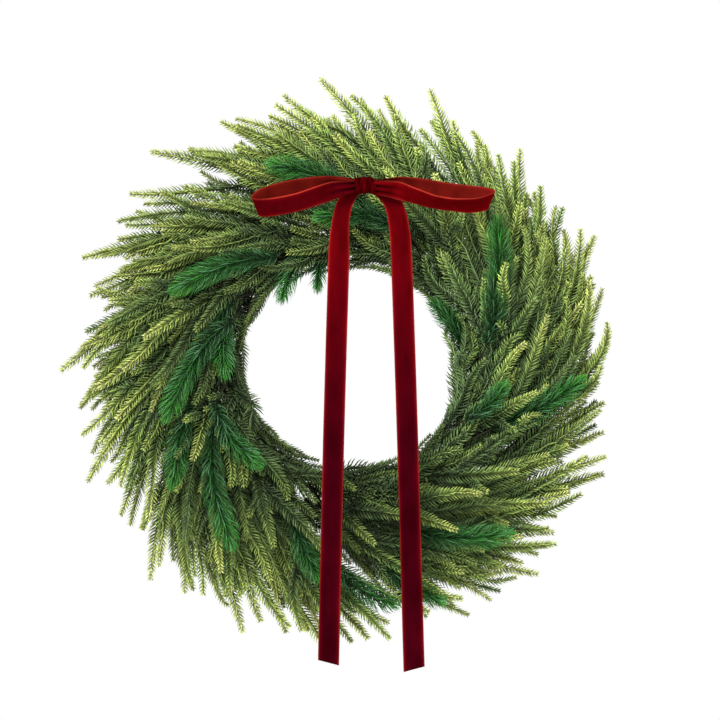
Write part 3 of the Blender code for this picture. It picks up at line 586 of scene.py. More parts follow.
class Batch:
    """Points, faces, a tint for each point and a place on the map for each corner, for one piece."""

    def __init__(self):
        self.points, self.tints, self.faces, self.places, self.count = [], [], [], [], 0

    def add(self, points, tints, faces, places):
        """Faces and places are arrays, one of each for every number of corners that a face can have."""
        self.points.append(points)
        self.tints.append(tints)
        for corners, spots in zip(faces, places):
            self.faces.append(corners + self.count)
            self.places.append(spots)
        self.count += len(points)

    def mesh(self, name):
        sizes = np.concatenate([np.full(len(f), f.shape[1]) for f in self.faces])
        corners = np.concatenate([f.ravel() for f in self.faces])
        spots = np.concatenate([p.ravel() for p in self.places])
        mesh = bpy.data.meshes.new(name)
        mesh.vertices.add(self.count)
        mesh.vertices.foreach_set("co", np.concatenate(self.points).astype(np.float32).ravel())
        mesh.loops.add(len(corners))
        mesh.loops.foreach_set("vertex_index", corners.astype(np.int32))
        mesh.polygons.add(len(sizes))
        mesh.polygons.foreach_set("loop_start", (np.cumsum(sizes) - sizes).astype(np.int32))
        mesh.polygons.foreach_set("use_smooth", np.full(len(sizes), True))
        mesh.update(calc_edges=True)
        mesh.validate()
        mesh.uv_layers.new(name="OFBake").uv.foreach_set("vector", spots.astype(np.float32))
        colours = mesh.color_attributes.new(name="tint", type="FLOAT_COLOR", domain="POINT")
        rgba = np.concatenate((np.concatenate(self.tints), np.ones((self.count, 1))), axis=1)
        colours.data.foreach_set("color", rgba.astype(np.float32).ravel())
        return mesh


def put(name, data, place, turn=(0.0, 0.0, 0.0)):
    """An object in the scene, from its mesh, lamp or lens."""
    made = bpy.data.objects.new(name, data)
    made.location = place
    made.rotation_euler = turn
    bpy.context.scene.collection.objects.link(made)
    return made


def piece(name, mesh, looks, nodes):
    """A finished piece about the ring's centre, which stands for CAD nodes and rides on the root."""
    mesh.materials.append(looks)
    made = put(name, mesh, (0.0, 0.0, RING_CENTRE_Z))
    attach(made, "root")
    if nodes:
        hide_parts(*nodes)
    return made


def colour(red, green, blue):
    """A linear colour from display values up to 255."""
    c = np.array((red, green, blue)) / 255.0
    return np.where(c <= 0.04045, c / 12.92, ((c + 0.055) / 1.055) ** 2.4)


def ramp(stops, at):
    """Colours along a row of (place, colour) stops."""
    places = [place for place, _ in stops]
    return np.stack([np.interp(at, places, [c[k] for _, c in stops]) for k in range(3)], -1)


# The stems' strip along the map's bottom edge: its height, and how much of its width and height is used
MAP_STEM = 0.06
STRIP_USED = np.array((0.99, MAP_STEM * 0.8))
# Where the stems' caps lie on the map, as a share of the strip, and how large each triangle is
CAP_AT = 0.995
CAP_SIZE = 0.002
# How much of its own cell on the map a needle leaves free at each side
CELL_MARGIN = 0.08
# How thick a needle is at its rings, from the root outwards, and its painted shade at the root and painted
# light at the tip
NEEDLE_SIDES = 3
NEEDLE_RINGS = np.array((1.0, 0.92, 0.62))
ROOT_PAINTED_SHADE = 0.26
TIP_PAINTED_LIGHT = 1.54
# A four-cornered face's corners in the other direction round it
FLIPPED = (0, 3, 2, 1)


def sheet_faces(rows, cols, around_rows, around_cols):
    """Faces between rows of points, which may close into a ring either way, and their rows and columns."""
    k, c = np.meshgrid(np.arange(rows if around_rows else rows - 1),
                       np.arange(cols if around_cols else cols - 1), indexing="ij")
    k, c = k.reshape(-1), c.reshape(-1)
    k1, c1 = (k + 1) % rows, (c + 1) % cols
    return np.stack((k * cols + c, k1 * cols + c, k1 * cols + c1, k * cols + c1), -1), k, c


def cell_spots(u, v, du, dv):
    """The four corners on the map of each face whose first corner is at u, v, first along u."""
    return np.stack((np.stack((u, v), -1), np.stack((u + du, v), -1),
                     np.stack((u + du, v + dv), -1), np.stack((u, v + dv), -1)), 1)


def tube(batch, points, radii, tints, sides):
    """A closed tube through points, with its map in a strip along the bottom edge."""
    rail = Rail(points)
    count = len(points)
    turns = np.arange(sides) * 2 * math.pi / sides
    ring = (np.cos(turns)[None, :, None] * rail.across[:, None]
            + np.sin(turns)[None, :, None] * rail.normal[:, None])
    verts = points[:, None] + ring * radii[:, None, None]
    ends = np.stack((points[-1] + rail.along[-1] * radii[-1], points[0]))
    verts = np.concatenate((verts.reshape(-1, 3), ends))
    tints = np.concatenate((np.repeat(tints, sides, axis=0), tints[-1:], tints[:1]))
    quads, k, c = sheet_faces(count, sides, False, True)
    spots = cell_spots(k / (count - 1), c / sides, 1 / (count - 1), 1 / sides) * STRIP_USED
    c = np.arange(sides)
    n = (c + 1) % sides
    last = (count - 1) * sides
    far_cap = np.stack((last + c, last + n, np.full(sides, count * sides)), -1)
    near_cap = np.stack((n, c, np.full(sides, count * sides + 1)), -1)
    cap_spots = np.full((2 * sides, 3, 2), CAP_AT) * np.array((1.0, STRIP_USED[1]))
    cap_spots[:, 1, 0] -= CAP_SIZE
    cap_spots[:, 2, 1] -= CAP_SIZE
    batch.add(verts, tints, (quads[:, FLIPPED], np.concatenate((far_cap, near_cap))),
              (spots[:, FLIPPED], cap_spots))


def blades(batch, root, middle, tip, wide, thick, tint):
    """Curved pointed needles in one go. Each is a row of rings (root, middle) of a few sides, and a tip;
    its map is a cell of its own in a square grid above the stems' strip."""
    sides = NEEDLE_SIDES
    count, rings = len(root), middle.shape[1] + 1
    # Painted shade at each needle's root, rising to painted light at its tip
    painted_levels = np.concatenate((np.repeat(np.linspace(ROOT_PAINTED_SHADE, 1.0, rings), sides), [TIP_PAINTED_LIGHT]))
    spine = np.concatenate((root[:, None], middle), axis=1)
    turns = (np.arange(sides) + 0.5) * 2 * math.pi / sides
    out = (np.cos(turns)[None, None, :, None] * wide[:, None, None, :]
           + np.sin(turns)[None, None, :, None] * thick[:, None, None, :])
    verts = spine[:, :, None] + out * NEEDLE_RINGS[None, :rings, None, None]
    per = rings * sides + 1
    verts = np.concatenate((verts.reshape(count, rings * sides, 3), tip[:, None]), axis=1).reshape(-1, 3)
    quad, r, c = sheet_faces(rings, sides, False, True)
    quad_at = cell_spots(c / sides, r / rings, 1 / sides, 1 / rings)
    c = np.arange(sides)
    last = (rings - 1) * sides
    end = np.stack((last + c, last + (c + 1) % sides, np.full(sides, per - 1)), -1)
    low = np.full(sides, (rings - 1) / rings)
    end_at = np.stack((np.stack((c / sides, low), -1), np.stack(((c + 1) / sides, low), -1),
                       np.stack(((c + 0.5) / sides, low + 0.9 / rings), -1)), 1)
    grid = int(math.ceil(math.sqrt(count)))
    cell = np.stack((np.arange(count) % grid, np.arange(count) // grid), -1)[:, None, None, :]
    size = np.array((1.0, 1.0 - MAP_STEM)) / grid
    first = (np.arange(count) * per)[:, None, None]
    faces, places = [], []
    for corners, at in ((quad[:, FLIPPED], quad_at), (end, end_at)):
        many = corners.shape[1]
        spots = (cell + CELL_MARGIN + (1.0 - 2 * CELL_MARGIN) * at) * size + np.array((0.0, MAP_STEM))
        faces.append((first + corners).reshape(-1, many))
        places.append(spots.reshape(-1, many, 2))
    batch.add(verts, (tint[:, None] * painted_levels[None, :, None]).reshape(-1, 3), faces, places)


# How the needles stand on each kind of sprig
NEEDLE_OUT = 0.0004
PINE_ROWS = 5
PINE_STEP = 0.00377
PINE_LONG = (0.0132, 0.0156)
PINE_HALF = 0.00090
PLAIN_HALF = 0.00120
# Where along its length a pine needle bends, and how far before the tip the last whorl stands
PINE_KNEE = 0.6
PINE_END = 0.0010
FIR_ROWS = 9
FIR_STEP = 0.0026
FIR_LONG = 0.0238
FIR_HALF = 0.00058
FIR_EARLY = 0.004
# The stretches of a fir needle: how far each is bent in towards the stem, and its share of the length
FIR_BENDS = ((0.0, 0.36), (13.0, 0.34), (34.0, 0.30))
PINE_STOPS = ((0.0, colour(44, 57, 36)), (0.30, colour(67, 86, 46)), (0.60, colour(102, 119, 57)),
              (0.85, colour(130, 139, 71)), (1.0, colour(143, 148, 94)))
FIR_STOPS = ((0.0, colour(26, 54, 24)), (0.35, colour(36, 80, 34)), (0.7, colour(46, 103, 40)),
             (1.0, colour(56, 123, 42)))
# Painted highlight: a random share of the fir needles is painted with a paler highlight colour
FIR_PAINTED_HIGHLIGHT = colour(96, 150, 104)
FIR_PAINTED_HIGHLIGHT_SHARE = 0.18
STEM_TINT = colour(32, 28, 19)
# Painted light: the foliage is painted lighter outwards, but less so at the upper left and the right,
# lighter towards the top, a little right of it, and most of all inside on the right
PAINTED_LIGHT_ALL = 1.06
PAINTED_LIGHT_OUTER = 0.48
PAINTED_LIGHT_WAY = (0.37, 0.93)
PAINTED_LIGHT_TOP = 0.34
PAINTED_LIGHT_INNER_RIGHT = 1.0
# The needles along the hole's edge are shorter
NEEDLE_SHARE = {"rim": 0.72}
# How light the sprigs of each layer are, from 0 (dark all along) to 1 (yellow-green towards the tip),
# and what share of them is dark
LIGHT = {"outer": (0.80, 1.0, 0.03), "middle": (0.55, 1.0, 0.08), "front": (0.40, 0.95, 0.14),
         "inner": (0.15, 0.5, 0.14), "rim": (0.05, 0.35, 0.14), "fringe": (0.10, 0.6, 0.14),
         "mid": (0.30, 0.9, 0.14), "crown": (0.50, 1.0, 0.06), "back": (0.55, 1.0, 0.06),
         "under": (0.15, 0.7, 0.14)}
# The fine needles begin a little nearer the ring than the CAD model's
EARLY = 0.8
STEM_STEP = 0.007
# A stem's radius, by distance from its tip
STEM_RUNS = (0.0, 0.03, 0.12)
STEM_RADII = (0.0007, 0.0010, STEM_RADIUS)
# The painted shade on a stem among its needles, and how light a dark sprig is beside the others
STEM_PAINTED_SHADE = 0.55
DARK_LEVEL = 0.25
# Layers whose needles are straight
PLAIN_LAYERS = ("rim", "mid", "back", "under")


def painted_light(centre, tone):
    """How much painted light the pine has by its place on the wreath, and inside on the right by its tone
    too.
    """
    x, z = units(centre)[:, 0], units(centre)[:, 2]
    inner = np.clip((0.24 - np.linalg.norm(centre, axis=1)) / 0.08, 0.0, 1.0)
    high = np.clip(PAINTED_LIGHT_WAY[0] * x + PAINTED_LIGHT_WAY[1] * z, 0.0, 1.0)
    upper_left = np.clip((z - x) / math.sqrt(2.0), 0.0, 1.0)
    right = np.maximum(x, 0.0) ** 2
    outer = (1.0 - inner) * (1.0 - 0.6 * upper_left ** 4 - 0.4 * right)
    return (PAINTED_LIGHT_ALL + PAINTED_LIGHT_TOP * high ** 3 + PAINTED_LIGHT_OUTER * outer
            + PAINTED_LIGHT_INNER_RIGHT * inner * right * (1.15 - 0.65 * tone))


def standing(rail, at, angle):
    """The stem's middle and the needles' roots, and the ways along the stem, out of it and across."""
    centre, along, across, normal = rail.at(at)
    out = turned(angle, across, normal)
    return centre, centre + out * NEEDLE_OUT, along, out, np.cross(along, out)


def pine_needles(rail, begin, draw, light, layer):
    """Whorls of needles round a pine sprig, shorter towards the tip; in some layers they are straight."""
    total = rail.run[-1]
    steps = np.arange(begin, total - PINE_END, PINE_STEP)
    twist = draw.uniform(0.0, 2 * math.pi) + draw.uniform(-0.12, 0.12, len(steps))
    at = np.repeat(steps, PINE_ROWS)
    at = at + draw.uniform(-0.0003, 0.0003, len(at))
    angle = np.tile(np.arange(PINE_ROWS) * 2 * math.pi / PINE_ROWS, len(steps))
    angle = angle + np.repeat(twist, PINE_ROWS) + draw.uniform(-0.12, 0.12, len(at))
    near_tip = np.clip((total - at) / 0.060, 0.0, 1.0)
    long = draw.uniform(*PINE_LONG) * NEEDLE_SHARE.get(layer, 1.0) * (0.30 + 0.70 * near_tip ** 0.8)
    long = long * draw.uniform(0.90, 1.08, len(at)) * np.clip(0.6 + (at - begin) / 0.02, 0.6, 1.0)
    lean = np.radians(47.0 + 7.0 * near_tip + draw.uniform(-5.0, 5.0, len(at)))
    centre, root, along, out, side = standing(rail, at, angle)
    first = turned(lean, along, out)
    last = turned(lean - np.radians(draw.uniform(10.0, 20.0, len(at))), along, out)
    middle = (root + first * (long * PINE_KNEE)[:, None])[:, None]
    tip = middle[:, 0] + last * (long * (1.0 - PINE_KNEE))[:, None]
    half = PINE_HALF
    if layer in PLAIN_LAYERS:
        middle = middle[:, :0]
        half = PLAIN_HALF
    place = (at - begin) / (total - begin)
    tone = np.clip(place * (0.30 + 0.70 * light) + draw.uniform(-0.05, 0.05, len(at)), 0.0, 1.0)
    # The needles' tint, with painted light by their place and a random lightness of each needle
    tint = ramp(PINE_STOPS, tone) * (painted_light(centre, tone) * draw.uniform(0.54, 1.46, len(at)))[:, None]
    return root, middle, tip, side * half, units(np.cross(first, side)) * half, tint


def fir_needles(rail, begin, draw):
    """Long fine needles all round a fir spray, swept forward and spread round its blunt end."""
    total = rail.run[-1]
    start = begin - FIR_EARLY
    steps = np.arange(start, total - 0.001, FIR_STEP)
    at = (steps[:, None] + np.arange(FIR_ROWS) * FIR_STEP / FIR_ROWS * 4 % FIR_STEP).ravel()
    angle = np.tile(np.arange(FIR_ROWS) * 2 * math.pi / FIR_ROWS, len(steps))
    at = np.clip(at + draw.uniform(-0.0006, 0.0006, len(at)), 0, total - 0.0004)
    angle = angle + draw.uniform(-0.25, 0.25, len(at))
    near_tip = np.clip((total - at) / 0.024, 0.0, 1.0)
    grow = np.clip((at - start) / 0.030, 0.0, 1.0)
    size = min(1.0, 0.72 + (total - begin) / 0.25)
    long = FIR_LONG * size * (0.55 + 0.45 * grow) * (0.56 + 0.44 * near_tip ** 0.7)
    long = long * draw.uniform(0.86, 1.04, len(at))
    lean = 27.0 + 31.0 * near_tip ** 0.8 + draw.uniform(-1.0, 1.0, len(at)) * (22.0 - 17.0 * near_tip)
    _, root, along, out, side = standing(rail, at, angle)
    ways = [turned(np.radians(lean - bend), along, out) for bend, _ in FIR_BENDS]
    joints = [root]
    for way, (_, share) in zip(ways, FIR_BENDS):
        joints.append(joints[-1] + way * (long * share)[:, None])
    tone = np.clip((at - begin) / (total - begin), 0, 1) + draw.uniform(-0.08, 0.08, len(at))
    tint = ramp(FIR_STOPS, np.clip(tone, 0, 1)) * draw.uniform(0.50, 1.35, len(at))[:, None]
    # Painted highlight: a random share of the needles is mixed with the paler highlight colour
    highlighted = draw.uniform(0.0, 1.0, len(at)) < FIR_PAINTED_HIGHLIGHT_SHARE
    tint[highlighted] = (tint[highlighted] + FIR_PAINTED_HIGHLIGHT) / 2
    return (root, np.stack(joints[1:-1], axis=1), joints[-1], side * FIR_HALF,
            units(np.cross(ways[0], side)) * FIR_HALF, tint)


def foliage_piece(mine, lead, looks, nodes, draw):
    """One branch or spray: its stem, hooked round the ring, and all its needles."""
    batch = Batch()
    parts = []
    layer = mine[0]["layer"]
    is_fir = layer == "fir"
    for s in mine:
        fine = smooth_path(s["points"], max(8, int(lengths(s["points"])[-1] / 0.0035)))
        rail = Rail(fine)
        begin = s["bare"] * rail.run[-1] * EARLY
        needled = rail.run[-1] - begin
        whole = resampled(fine, STEM_STEP)
        if s["joint"] is None:
            whole = np.concatenate((lead[:-1], whole))
        back = lengths(whole)[-1] - lengths(whole)
        light = 1.0
        if not is_fir:
            low, high, dark_share = LIGHT[layer]
            light = draw.uniform(low, high) * (DARK_LEVEL if draw.uniform() < dark_share else 1.0)
        place = np.clip(1.0 - back / needled, 0.0, 1.0)
        # Where a stem bears needles its green is darkened by painted shade
        green = ramp(FIR_STOPS if is_fir else PINE_STOPS, place * (0.30 + 0.70 * light)) * STEM_PAINTED_SHADE
        mix = np.clip((back - needled) / 0.02 + 0.5, 0.0, 1.0)[:, None]
        tube(batch, whole, np.interp(back, STEM_RUNS, STEM_RADII), green * (1 - mix) + STEM_TINT * mix,
             5 if nodes else 4)
        parts.append(fir_needles(rail, begin, draw) if is_fir
                     else pine_needles(rail, begin, draw, light, layer))
    blades(batch, *(np.concatenate(rows) for rows in zip(*parts)))
    name = mine[0]["node"] + ("_needles" if nodes else "")
    piece(name, batch.mesh(name), looks, nodes)


def foliage(pine_look, fir_look):
    """All branches and sprays: the CAD model's are laid and settled first, then the extra ones."""
    plants = pine_branches() + fir_plants("fir_spray", FIR_SPRAYS, FIR, FIR_LEAD)
    roots = spread_roots([plant["root"] for plant in plants])
    for plant, root in zip(plants, roots):
        plant["root"] = root
    strands, leads = [], {}
    for batch, rounds in ((plants, ROUNDS), (extra_branches(roots), EXTRA_ROUNDS)):
        held = len(strands)
        for plant in batch:
            leads[plant["name"]] = hook(plant["root"], plant["side"])
            lay = lay_spray if plant["layer"] == "fir" else lay_branch
            strands += lay(plant)
        settle(strands, rounds, held)
    draw = np.random.default_rng(LOOK_SEED)
    for name, lead in leads.items():
        mine = [s for s in strands if s["node"] == name]
        nodes = () if mine[0]["kind"] == EXTRA else (name,)
        foliage_piece(mine, lead, fir_look if mine[0]["layer"] == "fir" else pine_look, nodes, draw)


# The ring with its tape, and the tie wire

TAPE_TURNS = 62
TAPE_LAP = 0.00035
TAPE_UNEVEN = 0.00008
TAPE_BROWN = colour(86, 62, 44)
TAPED_HALF = RING_HALF * 1.02
TAPE_ROWS = 480
TAPE_SIDES = 12
TIE_GREEN = colour(22, 40, 22)
TIE_ROWS = 60
TIE_SIDES = 8


def taped_ring(looks):
    """The wire ring, wound with paper tape whose laps run slantwise round it."""
    clock = np.arange(TAPE_ROWS) * 2 * math.pi / TAPE_ROWS
    turn = np.arange(TAPE_SIDES) * 2 * math.pi / TAPE_SIDES
    c, t = np.meshgrid(clock, turn, indexing="ij")
    lap = (TAPE_TURNS * c / (2 * math.pi) + t / (2 * math.pi)) % 1.0
    draw = np.random.default_rng(LOOK_SEED)
    radius = TAPED_HALF + TAPE_LAP * lap + draw.uniform(0.0, TAPE_UNEVEN, lap.shape)
    reach = RING_RADIUS + radius * np.cos(t)
    points = np.stack((reach * np.cos(c), radius * np.sin(t), reach * np.sin(c)), -1).reshape(-1, 3)
    quads, k, s = sheet_faces(TAPE_ROWS, TAPE_SIDES, True, True)
    spots = cell_spots(k / TAPE_ROWS, s / TAPE_SIDES, 1 / TAPE_ROWS, 1 / TAPE_SIDES)
    batch = Batch()
    # Painted shade and light: each lap is painted darker at its foot, where it sinks under the next lap's
    # step, and lighter at its raised edge
    batch.add(points, TAPE_BROWN * (0.55 + 0.6 * lap.reshape(-1, 1)), (quads,), (spots,))
    piece("taped_ring", batch.mesh("taped_ring"), looks, ("frame_ring",))


def tie_wire(looks):
    path = smooth_path(tie_path(), TIE_ROWS)
    batch = Batch()
    tube(batch, path, np.full(len(path), TIE_RADIUS), np.tile(TIE_GREEN, (len(path), 1)), TIE_SIDES)
    piece("bow_tie", batch.mesh("bow_tie"), looks, ("bow_tie_wire",))


# The velvet ribbon

VELVET_THICK = 0.0009
# Velvet pile colours, lit and in painted shade, mixed by the painted shade over each strip; then the inside
# face of a loop and the woven rim
PILE_PAINTED_LIT = colour(84, 2, 5)
PILE_PAINTED_SHADE = colour(48, 1, 8)
PILE_INSIDE = colour(97, 18, 13)
RIM = colour(104, 27, 19)
# How thick the rims are, as a share of the pile, and how far their teeth stand out
RIM_THINNER = 0.55
PICOT = 0.00016
# How much of the map the ribbon's faces take, their margin, and the strip on which the cut ends lie
MAP_PILE = 0.97
MAP_MARGIN = 0.01
CUT_STRIP = (0.985, 0.992)
# Places across the ribbon, from edge to edge, closer together at the woven rims
ACROSS = np.concatenate(([-1.0, -0.94], np.linspace(-0.86, 0.86, 13), [0.94, 1.0]))


def ribbon_mesh(name, centre, face, place, shade, inside=0, lit=(0.0, 0.0), dim=1.0, closed=False):
    """A velvet strip from rows of points across it, with a face direction for each point.
    shade runs from 0 (light) to 1 (dark) over the points and is painted shade, inside says which face (1 or
    -1) is a loop's inside, lit how much painted light the rims have where place is -1 and 1 (below 0,
    painted shade), and dim how much painted shade darkens the creases."""
    rows, cols = centre.shape[:2]
    half = VELVET_THICK / 2 * np.where(np.abs(place) > 0.97, RIM_THINNER, 1.0)
    top = centre + face * half[None, :, None]
    low = centre - face * half[None, :, None]
    points = np.concatenate((top, low[:, ::-1]), axis=1).reshape(-1, 3)
    per = 2 * cols
    quads, k, c = sheet_faces(rows, per, closed, True)
    faces = [quads]
    places = [cell_spots(k / rows, c / per, 1 / rows, 1 / per) * MAP_PILE + MAP_MARGIN]
    if not closed:
        c = np.arange(cols - 1)
        quad = np.stack((c, c + 1, per - 2 - c, per - 1 - c), -1)
        spot = cell_spots(c / cols, np.full(cols - 1, CUT_STRIP[0]), 1 / cols, CUT_STRIP[1] - CUT_STRIP[0])
        faces += [quad, (quad + (rows - 1) * per)[:, ::-1]]
        places += [spot, spot[:, ::-1]]
    across = np.concatenate((place, place[::-1]))
    rim = np.clip((np.abs(across) - 0.88) / 0.06, 0.0, 1.0)[None, :, None]
    # Painted sheen: towards both edges the pile and the inside face are painted lighter, and their painted
    # shade weaker
    edge = np.clip((np.abs(across) - 0.55) / 0.40, 0.0, 1.0)[None, :, None] ** 1.5
    over = [np.broadcast_to(each, (rows, cols)) for each in (shade, dim)]
    dark, dim = (np.concatenate((each, each[:, ::-1]), axis=1)[:, :, None] for each in over)
    within = np.repeat((inside > 0, inside < 0), cols)[None, :, None]
    # Painted shade darkens the pile, the inside face and the rims
    deep = dark * (1 - 0.45 * edge)
    pile = (PILE_PAINTED_LIT * (1 - deep) + PILE_PAINTED_SHADE * deep) * (0.78 + 0.52 * edge)
    pile = np.where(within, PILE_INSIDE * (1 - 0.5 * dark) * (0.86 + 0.40 * edge), pile) * dim
    # The woven rim's stitches alternate lighter and darker, and painted light and painted shade are added
    # along each rim
    stitch_and_painted_light = (1.0 + 0.22 * np.where(np.arange(rows) % 2, 1.0, -1.0))[:, None, None]
    for brighter, where in zip(lit, (across < -0.9, across > 0.9)):
        stitch_and_painted_light = stitch_and_painted_light + np.reshape(brighter, (-1, 1, 1)) * where[None, :, None]
    tint = pile * (1 - rim) + RIM * (1 - 0.3 * dark) * dim * stitch_and_painted_light * rim
    batch = Batch()
    batch.add(points, tint.reshape(-1, 3), faces, places)
    return batch.mesh(name)


def strip_frame(path, wide_way):
    """The width and face directions along a ribbon's middle line."""
    along = Rail(path).along
    wide = np.array([across_part(w, a) for w, a in zip(wide_way, along)])
    return wide, units(np.cross(along, wide)), along


def picot(count, draw):
    """The small teeth of the woven edge."""
    return PICOT * np.where(np.arange(count) % 2, 1.0, -1.0) * draw.uniform(0.5, 1.0, count)


# How far the loops' ends are tucked into the knot
KNOT_TUCK = 0.002
# How much painted shade the outer face of each loop has, from 0 to 1
LOOP_PAINTED_SHADE = {-1: 0.50, 1: 0.08}
# Ribbon width of the loops, by distance out from the knot's middle, and how deep their waves are there
LOOP_RUNS = (0.0115, 0.036)
LOOP_WIDTHS = (0.0156, RIBBON)
LOOP_WAVE = 0.0022
LOOP_ROWS = 180
# Painted highlight on a loop's upper rim halfway along its front, and painted shade dulling both rims near
# the knot
RIM_PAINTED_LIGHT = 0.9
RIM_PAINTED_SHADE = 0.75
# Ribbon width of the tails, by distance from the knot
TAIL_RUNS = (0.0, 0.020, 0.050, 0.075)
TAIL_WIDTHS = {-1: (0.012, 0.0170, 0.0195, RIBBON), 1: (0.012, 0.0185, 0.0215, RIBBON)}
TAIL_PLEAT = 0.0012
TAIL_CURL = 0.0009
TAIL_SWAY = 0.0012
TAIL_SWAY_LONG = 0.110
TAIL_ROWS = 400
# Painted shade over the whole knot
KNOT_PAINTED_SHADE = 0.25
KNOT_ROWS = 72
KNOT_COLUMNS = 37
# How far round its barrel's bend the knot's width reaches, each way
KNOT_BEND = math.pi / 2 * 0.86


def strip_rows(path, frame_ways, half, lift, shift, draw):
    """Rows of points across a strip: half its width, lifted off its middle face and shifted along it."""
    wide, face, along = frame_ways
    reach = half[:, None] * ACROSS[None, :]
    reach[:, 0] -= picot(len(path), draw)
    reach[:, -1] += picot(len(path), draw)
    return (path[:, None] + reach[:, :, None] * wide[:, None] + shift[:, :, None] * along[:, None]
            + lift[:, :, None] * face[:, None])


def loop(side, word, looks, draw):
    """A loop of the bow, gathered in waves where it enters the knot."""
    path, ways = loop_path(side, LOOP_ROWS)
    frame_ways = strip_frame(path, ways)
    run = lengths(path)
    out = np.abs(path[:, 0] - KNOT[0])
    half = np.interp(out, LOOP_RUNS, LOOP_WIDTHS) / 2
    gather = np.clip((0.050 - out) / 0.038, 0.0, 1.0)[:, None] ** 1.4
    wave = np.cos(ACROSS[None, :] * math.pi * 2.4 + 0.6 + 2.0 * out[:, None] / 0.05)
    path[[0, -1], 0] -= side * KNOT_TUCK
    lift = LOOP_WAVE * gather * wave
    centre = strip_rows(path, frame_ways, half, lift, np.zeros_like(lift), draw)
    # Painted shade on the loop: its own share, more in the gathered waves near the knot and most in their
    # valleys
    shade = np.clip(LOOP_PAINTED_SHADE[side] + gather * (0.35 - 0.45 * side * wave), 0.0, 1.0)
    # Painted light on the upper rim along the front, and painted shade on both rims near the knot
    lit = RIM_PAINTED_LIGHT * np.sin(np.clip((run / run[-1] - 0.06) / 0.40, 0.0, 1.0) * math.pi)
    painted_rim_shade = -RIM_PAINTED_SHADE * gather[:, 0]
    mesh = ribbon_mesh(f"velvet_loop_{word}", centre, frame_ways[1][:, None], ACROSS, shade,
                       inside=-side, lit=(painted_rim_shade, lit + painted_rim_shade))
    made = piece(f"velvet_loop_{word}", mesh, looks, (f"bow_loop_{word}",))


def tail(side, word, looks, draw):
    """A tail, pleated under the knot, a little curled and swaying lower down, and cut at a slant."""
    path = KNOT + tail_route(side, TAIL_ROWS)
    run = lengths(path)
    frame_ways = strip_frame(path, [np.cross(a, DEPTHWAYS) for a in Rail(path).along])
    half = np.interp(run, TAIL_RUNS, TAIL_WIDTHS[side]) / 2
    gather = np.clip((0.050 - run) / 0.050, 0.0, 1.0)[:, None]
    pleat = TAIL_PLEAT * gather * np.cos(ACROSS[None, :] * math.pi * 2.2 + side)
    curl = TAIL_CURL * (ACROSS[None, :] ** 2 - 0.4) * (1.0 - gather)
    sway = TAIL_SWAY * np.sin(run / TAIL_SWAY_LONG * 2 * math.pi + side) * np.clip(run / 0.2, 0, 1)
    cut = -side * TAIL_SLANT * np.clip(1 - (run[-1] - run) / 0.030, 0, 1)[:, None] * ACROSS[None, :]
    centre = strip_rows(path, frame_ways, half, pleat + curl + sway[:, None], cut, draw)
    # Painted shade on the tail: darker further down, and a painted shadow under the loops near the knot
    shade = np.clip(run / 0.30, 0.20, 1.0) + 0.35 * np.clip((0.060 - run) / 0.050, 0.0, 1.0)
    mesh = ribbon_mesh(f"velvet_tail_{word}", centre, frame_ways[1][:, None], ACROSS, shade[:, None])
    made = piece(f"velvet_tail_{word}", mesh, looks, (f"ribbon_tail_{word}",))


def bow(looks):
    draw = np.random.default_rng(LOOK_SEED + 1)
    for side, word in ((-1, "left"), (1, "right")):
        loop(side, word, looks, draw)
        tail(side, word, looks, draw)


def rounded(wave):
    """A sine or cosine made fuller, for a section between round and square."""
    return np.sign(wave) * np.abs(wave) ** 0.8


def knot(looks):
    """A turn of ribbon wrapped round the middle of the bow, with creases across its width."""
    turn = np.arange(KNOT_ROWS) * 2 * math.pi / KNOT_ROWS
    place = np.linspace(-1.0, 1.0, KNOT_COLUMNS)
    t, p = np.meshgrid(turn, place, indexing="ij")
    barrel = 1.0 - 0.26 * np.abs(p) ** 2.6
    folds = (0.50 * np.cos(p * 10.5 + 1.1 * np.sin(t) + 0.8) + 0.30 * np.cos(p * 5.0 - 1.8 * np.sin(t + 0.7))
             + 0.30 * np.cos(p * 19.0 + 2.2 * np.sin(t * 2 + 0.3)))
    swell = barrel * (0.93 + 0.075 * folds)
    x = KNOT_HALF[0] * np.sin(p * KNOT_BEND) / math.sin(KNOT_BEND) + 0.0006 * np.sin(t * 2 + 1.0)
    y = KNOT_HALF[1] * rounded(np.cos(t)) * swell
    z = KNOT_HALF[2] * rounded(np.sin(t)) * swell
    centre = KNOT + np.stack((x, y, z), -1)
    dx = np.gradient(centre, axis=1)
    dt = np.roll(centre, -1, axis=0) - np.roll(centre, 1, axis=0)
    face = units(np.cross(dt, dx))
    face *= np.sign((face[..., 1] * y + face[..., 2] * z).mean())
    # Painted shade on the knot, darkest in the valleys of its creases
    mesh = ribbon_mesh("velvet_knot", centre, face, place, KNOT_PAINTED_SHADE,
                       dim=np.clip(0.48 + 0.34 * folds, 0.12, 0.9), closed=True)
    made = piece("velvet_knot", mesh, looks, ("bow_knot",))


# Materials

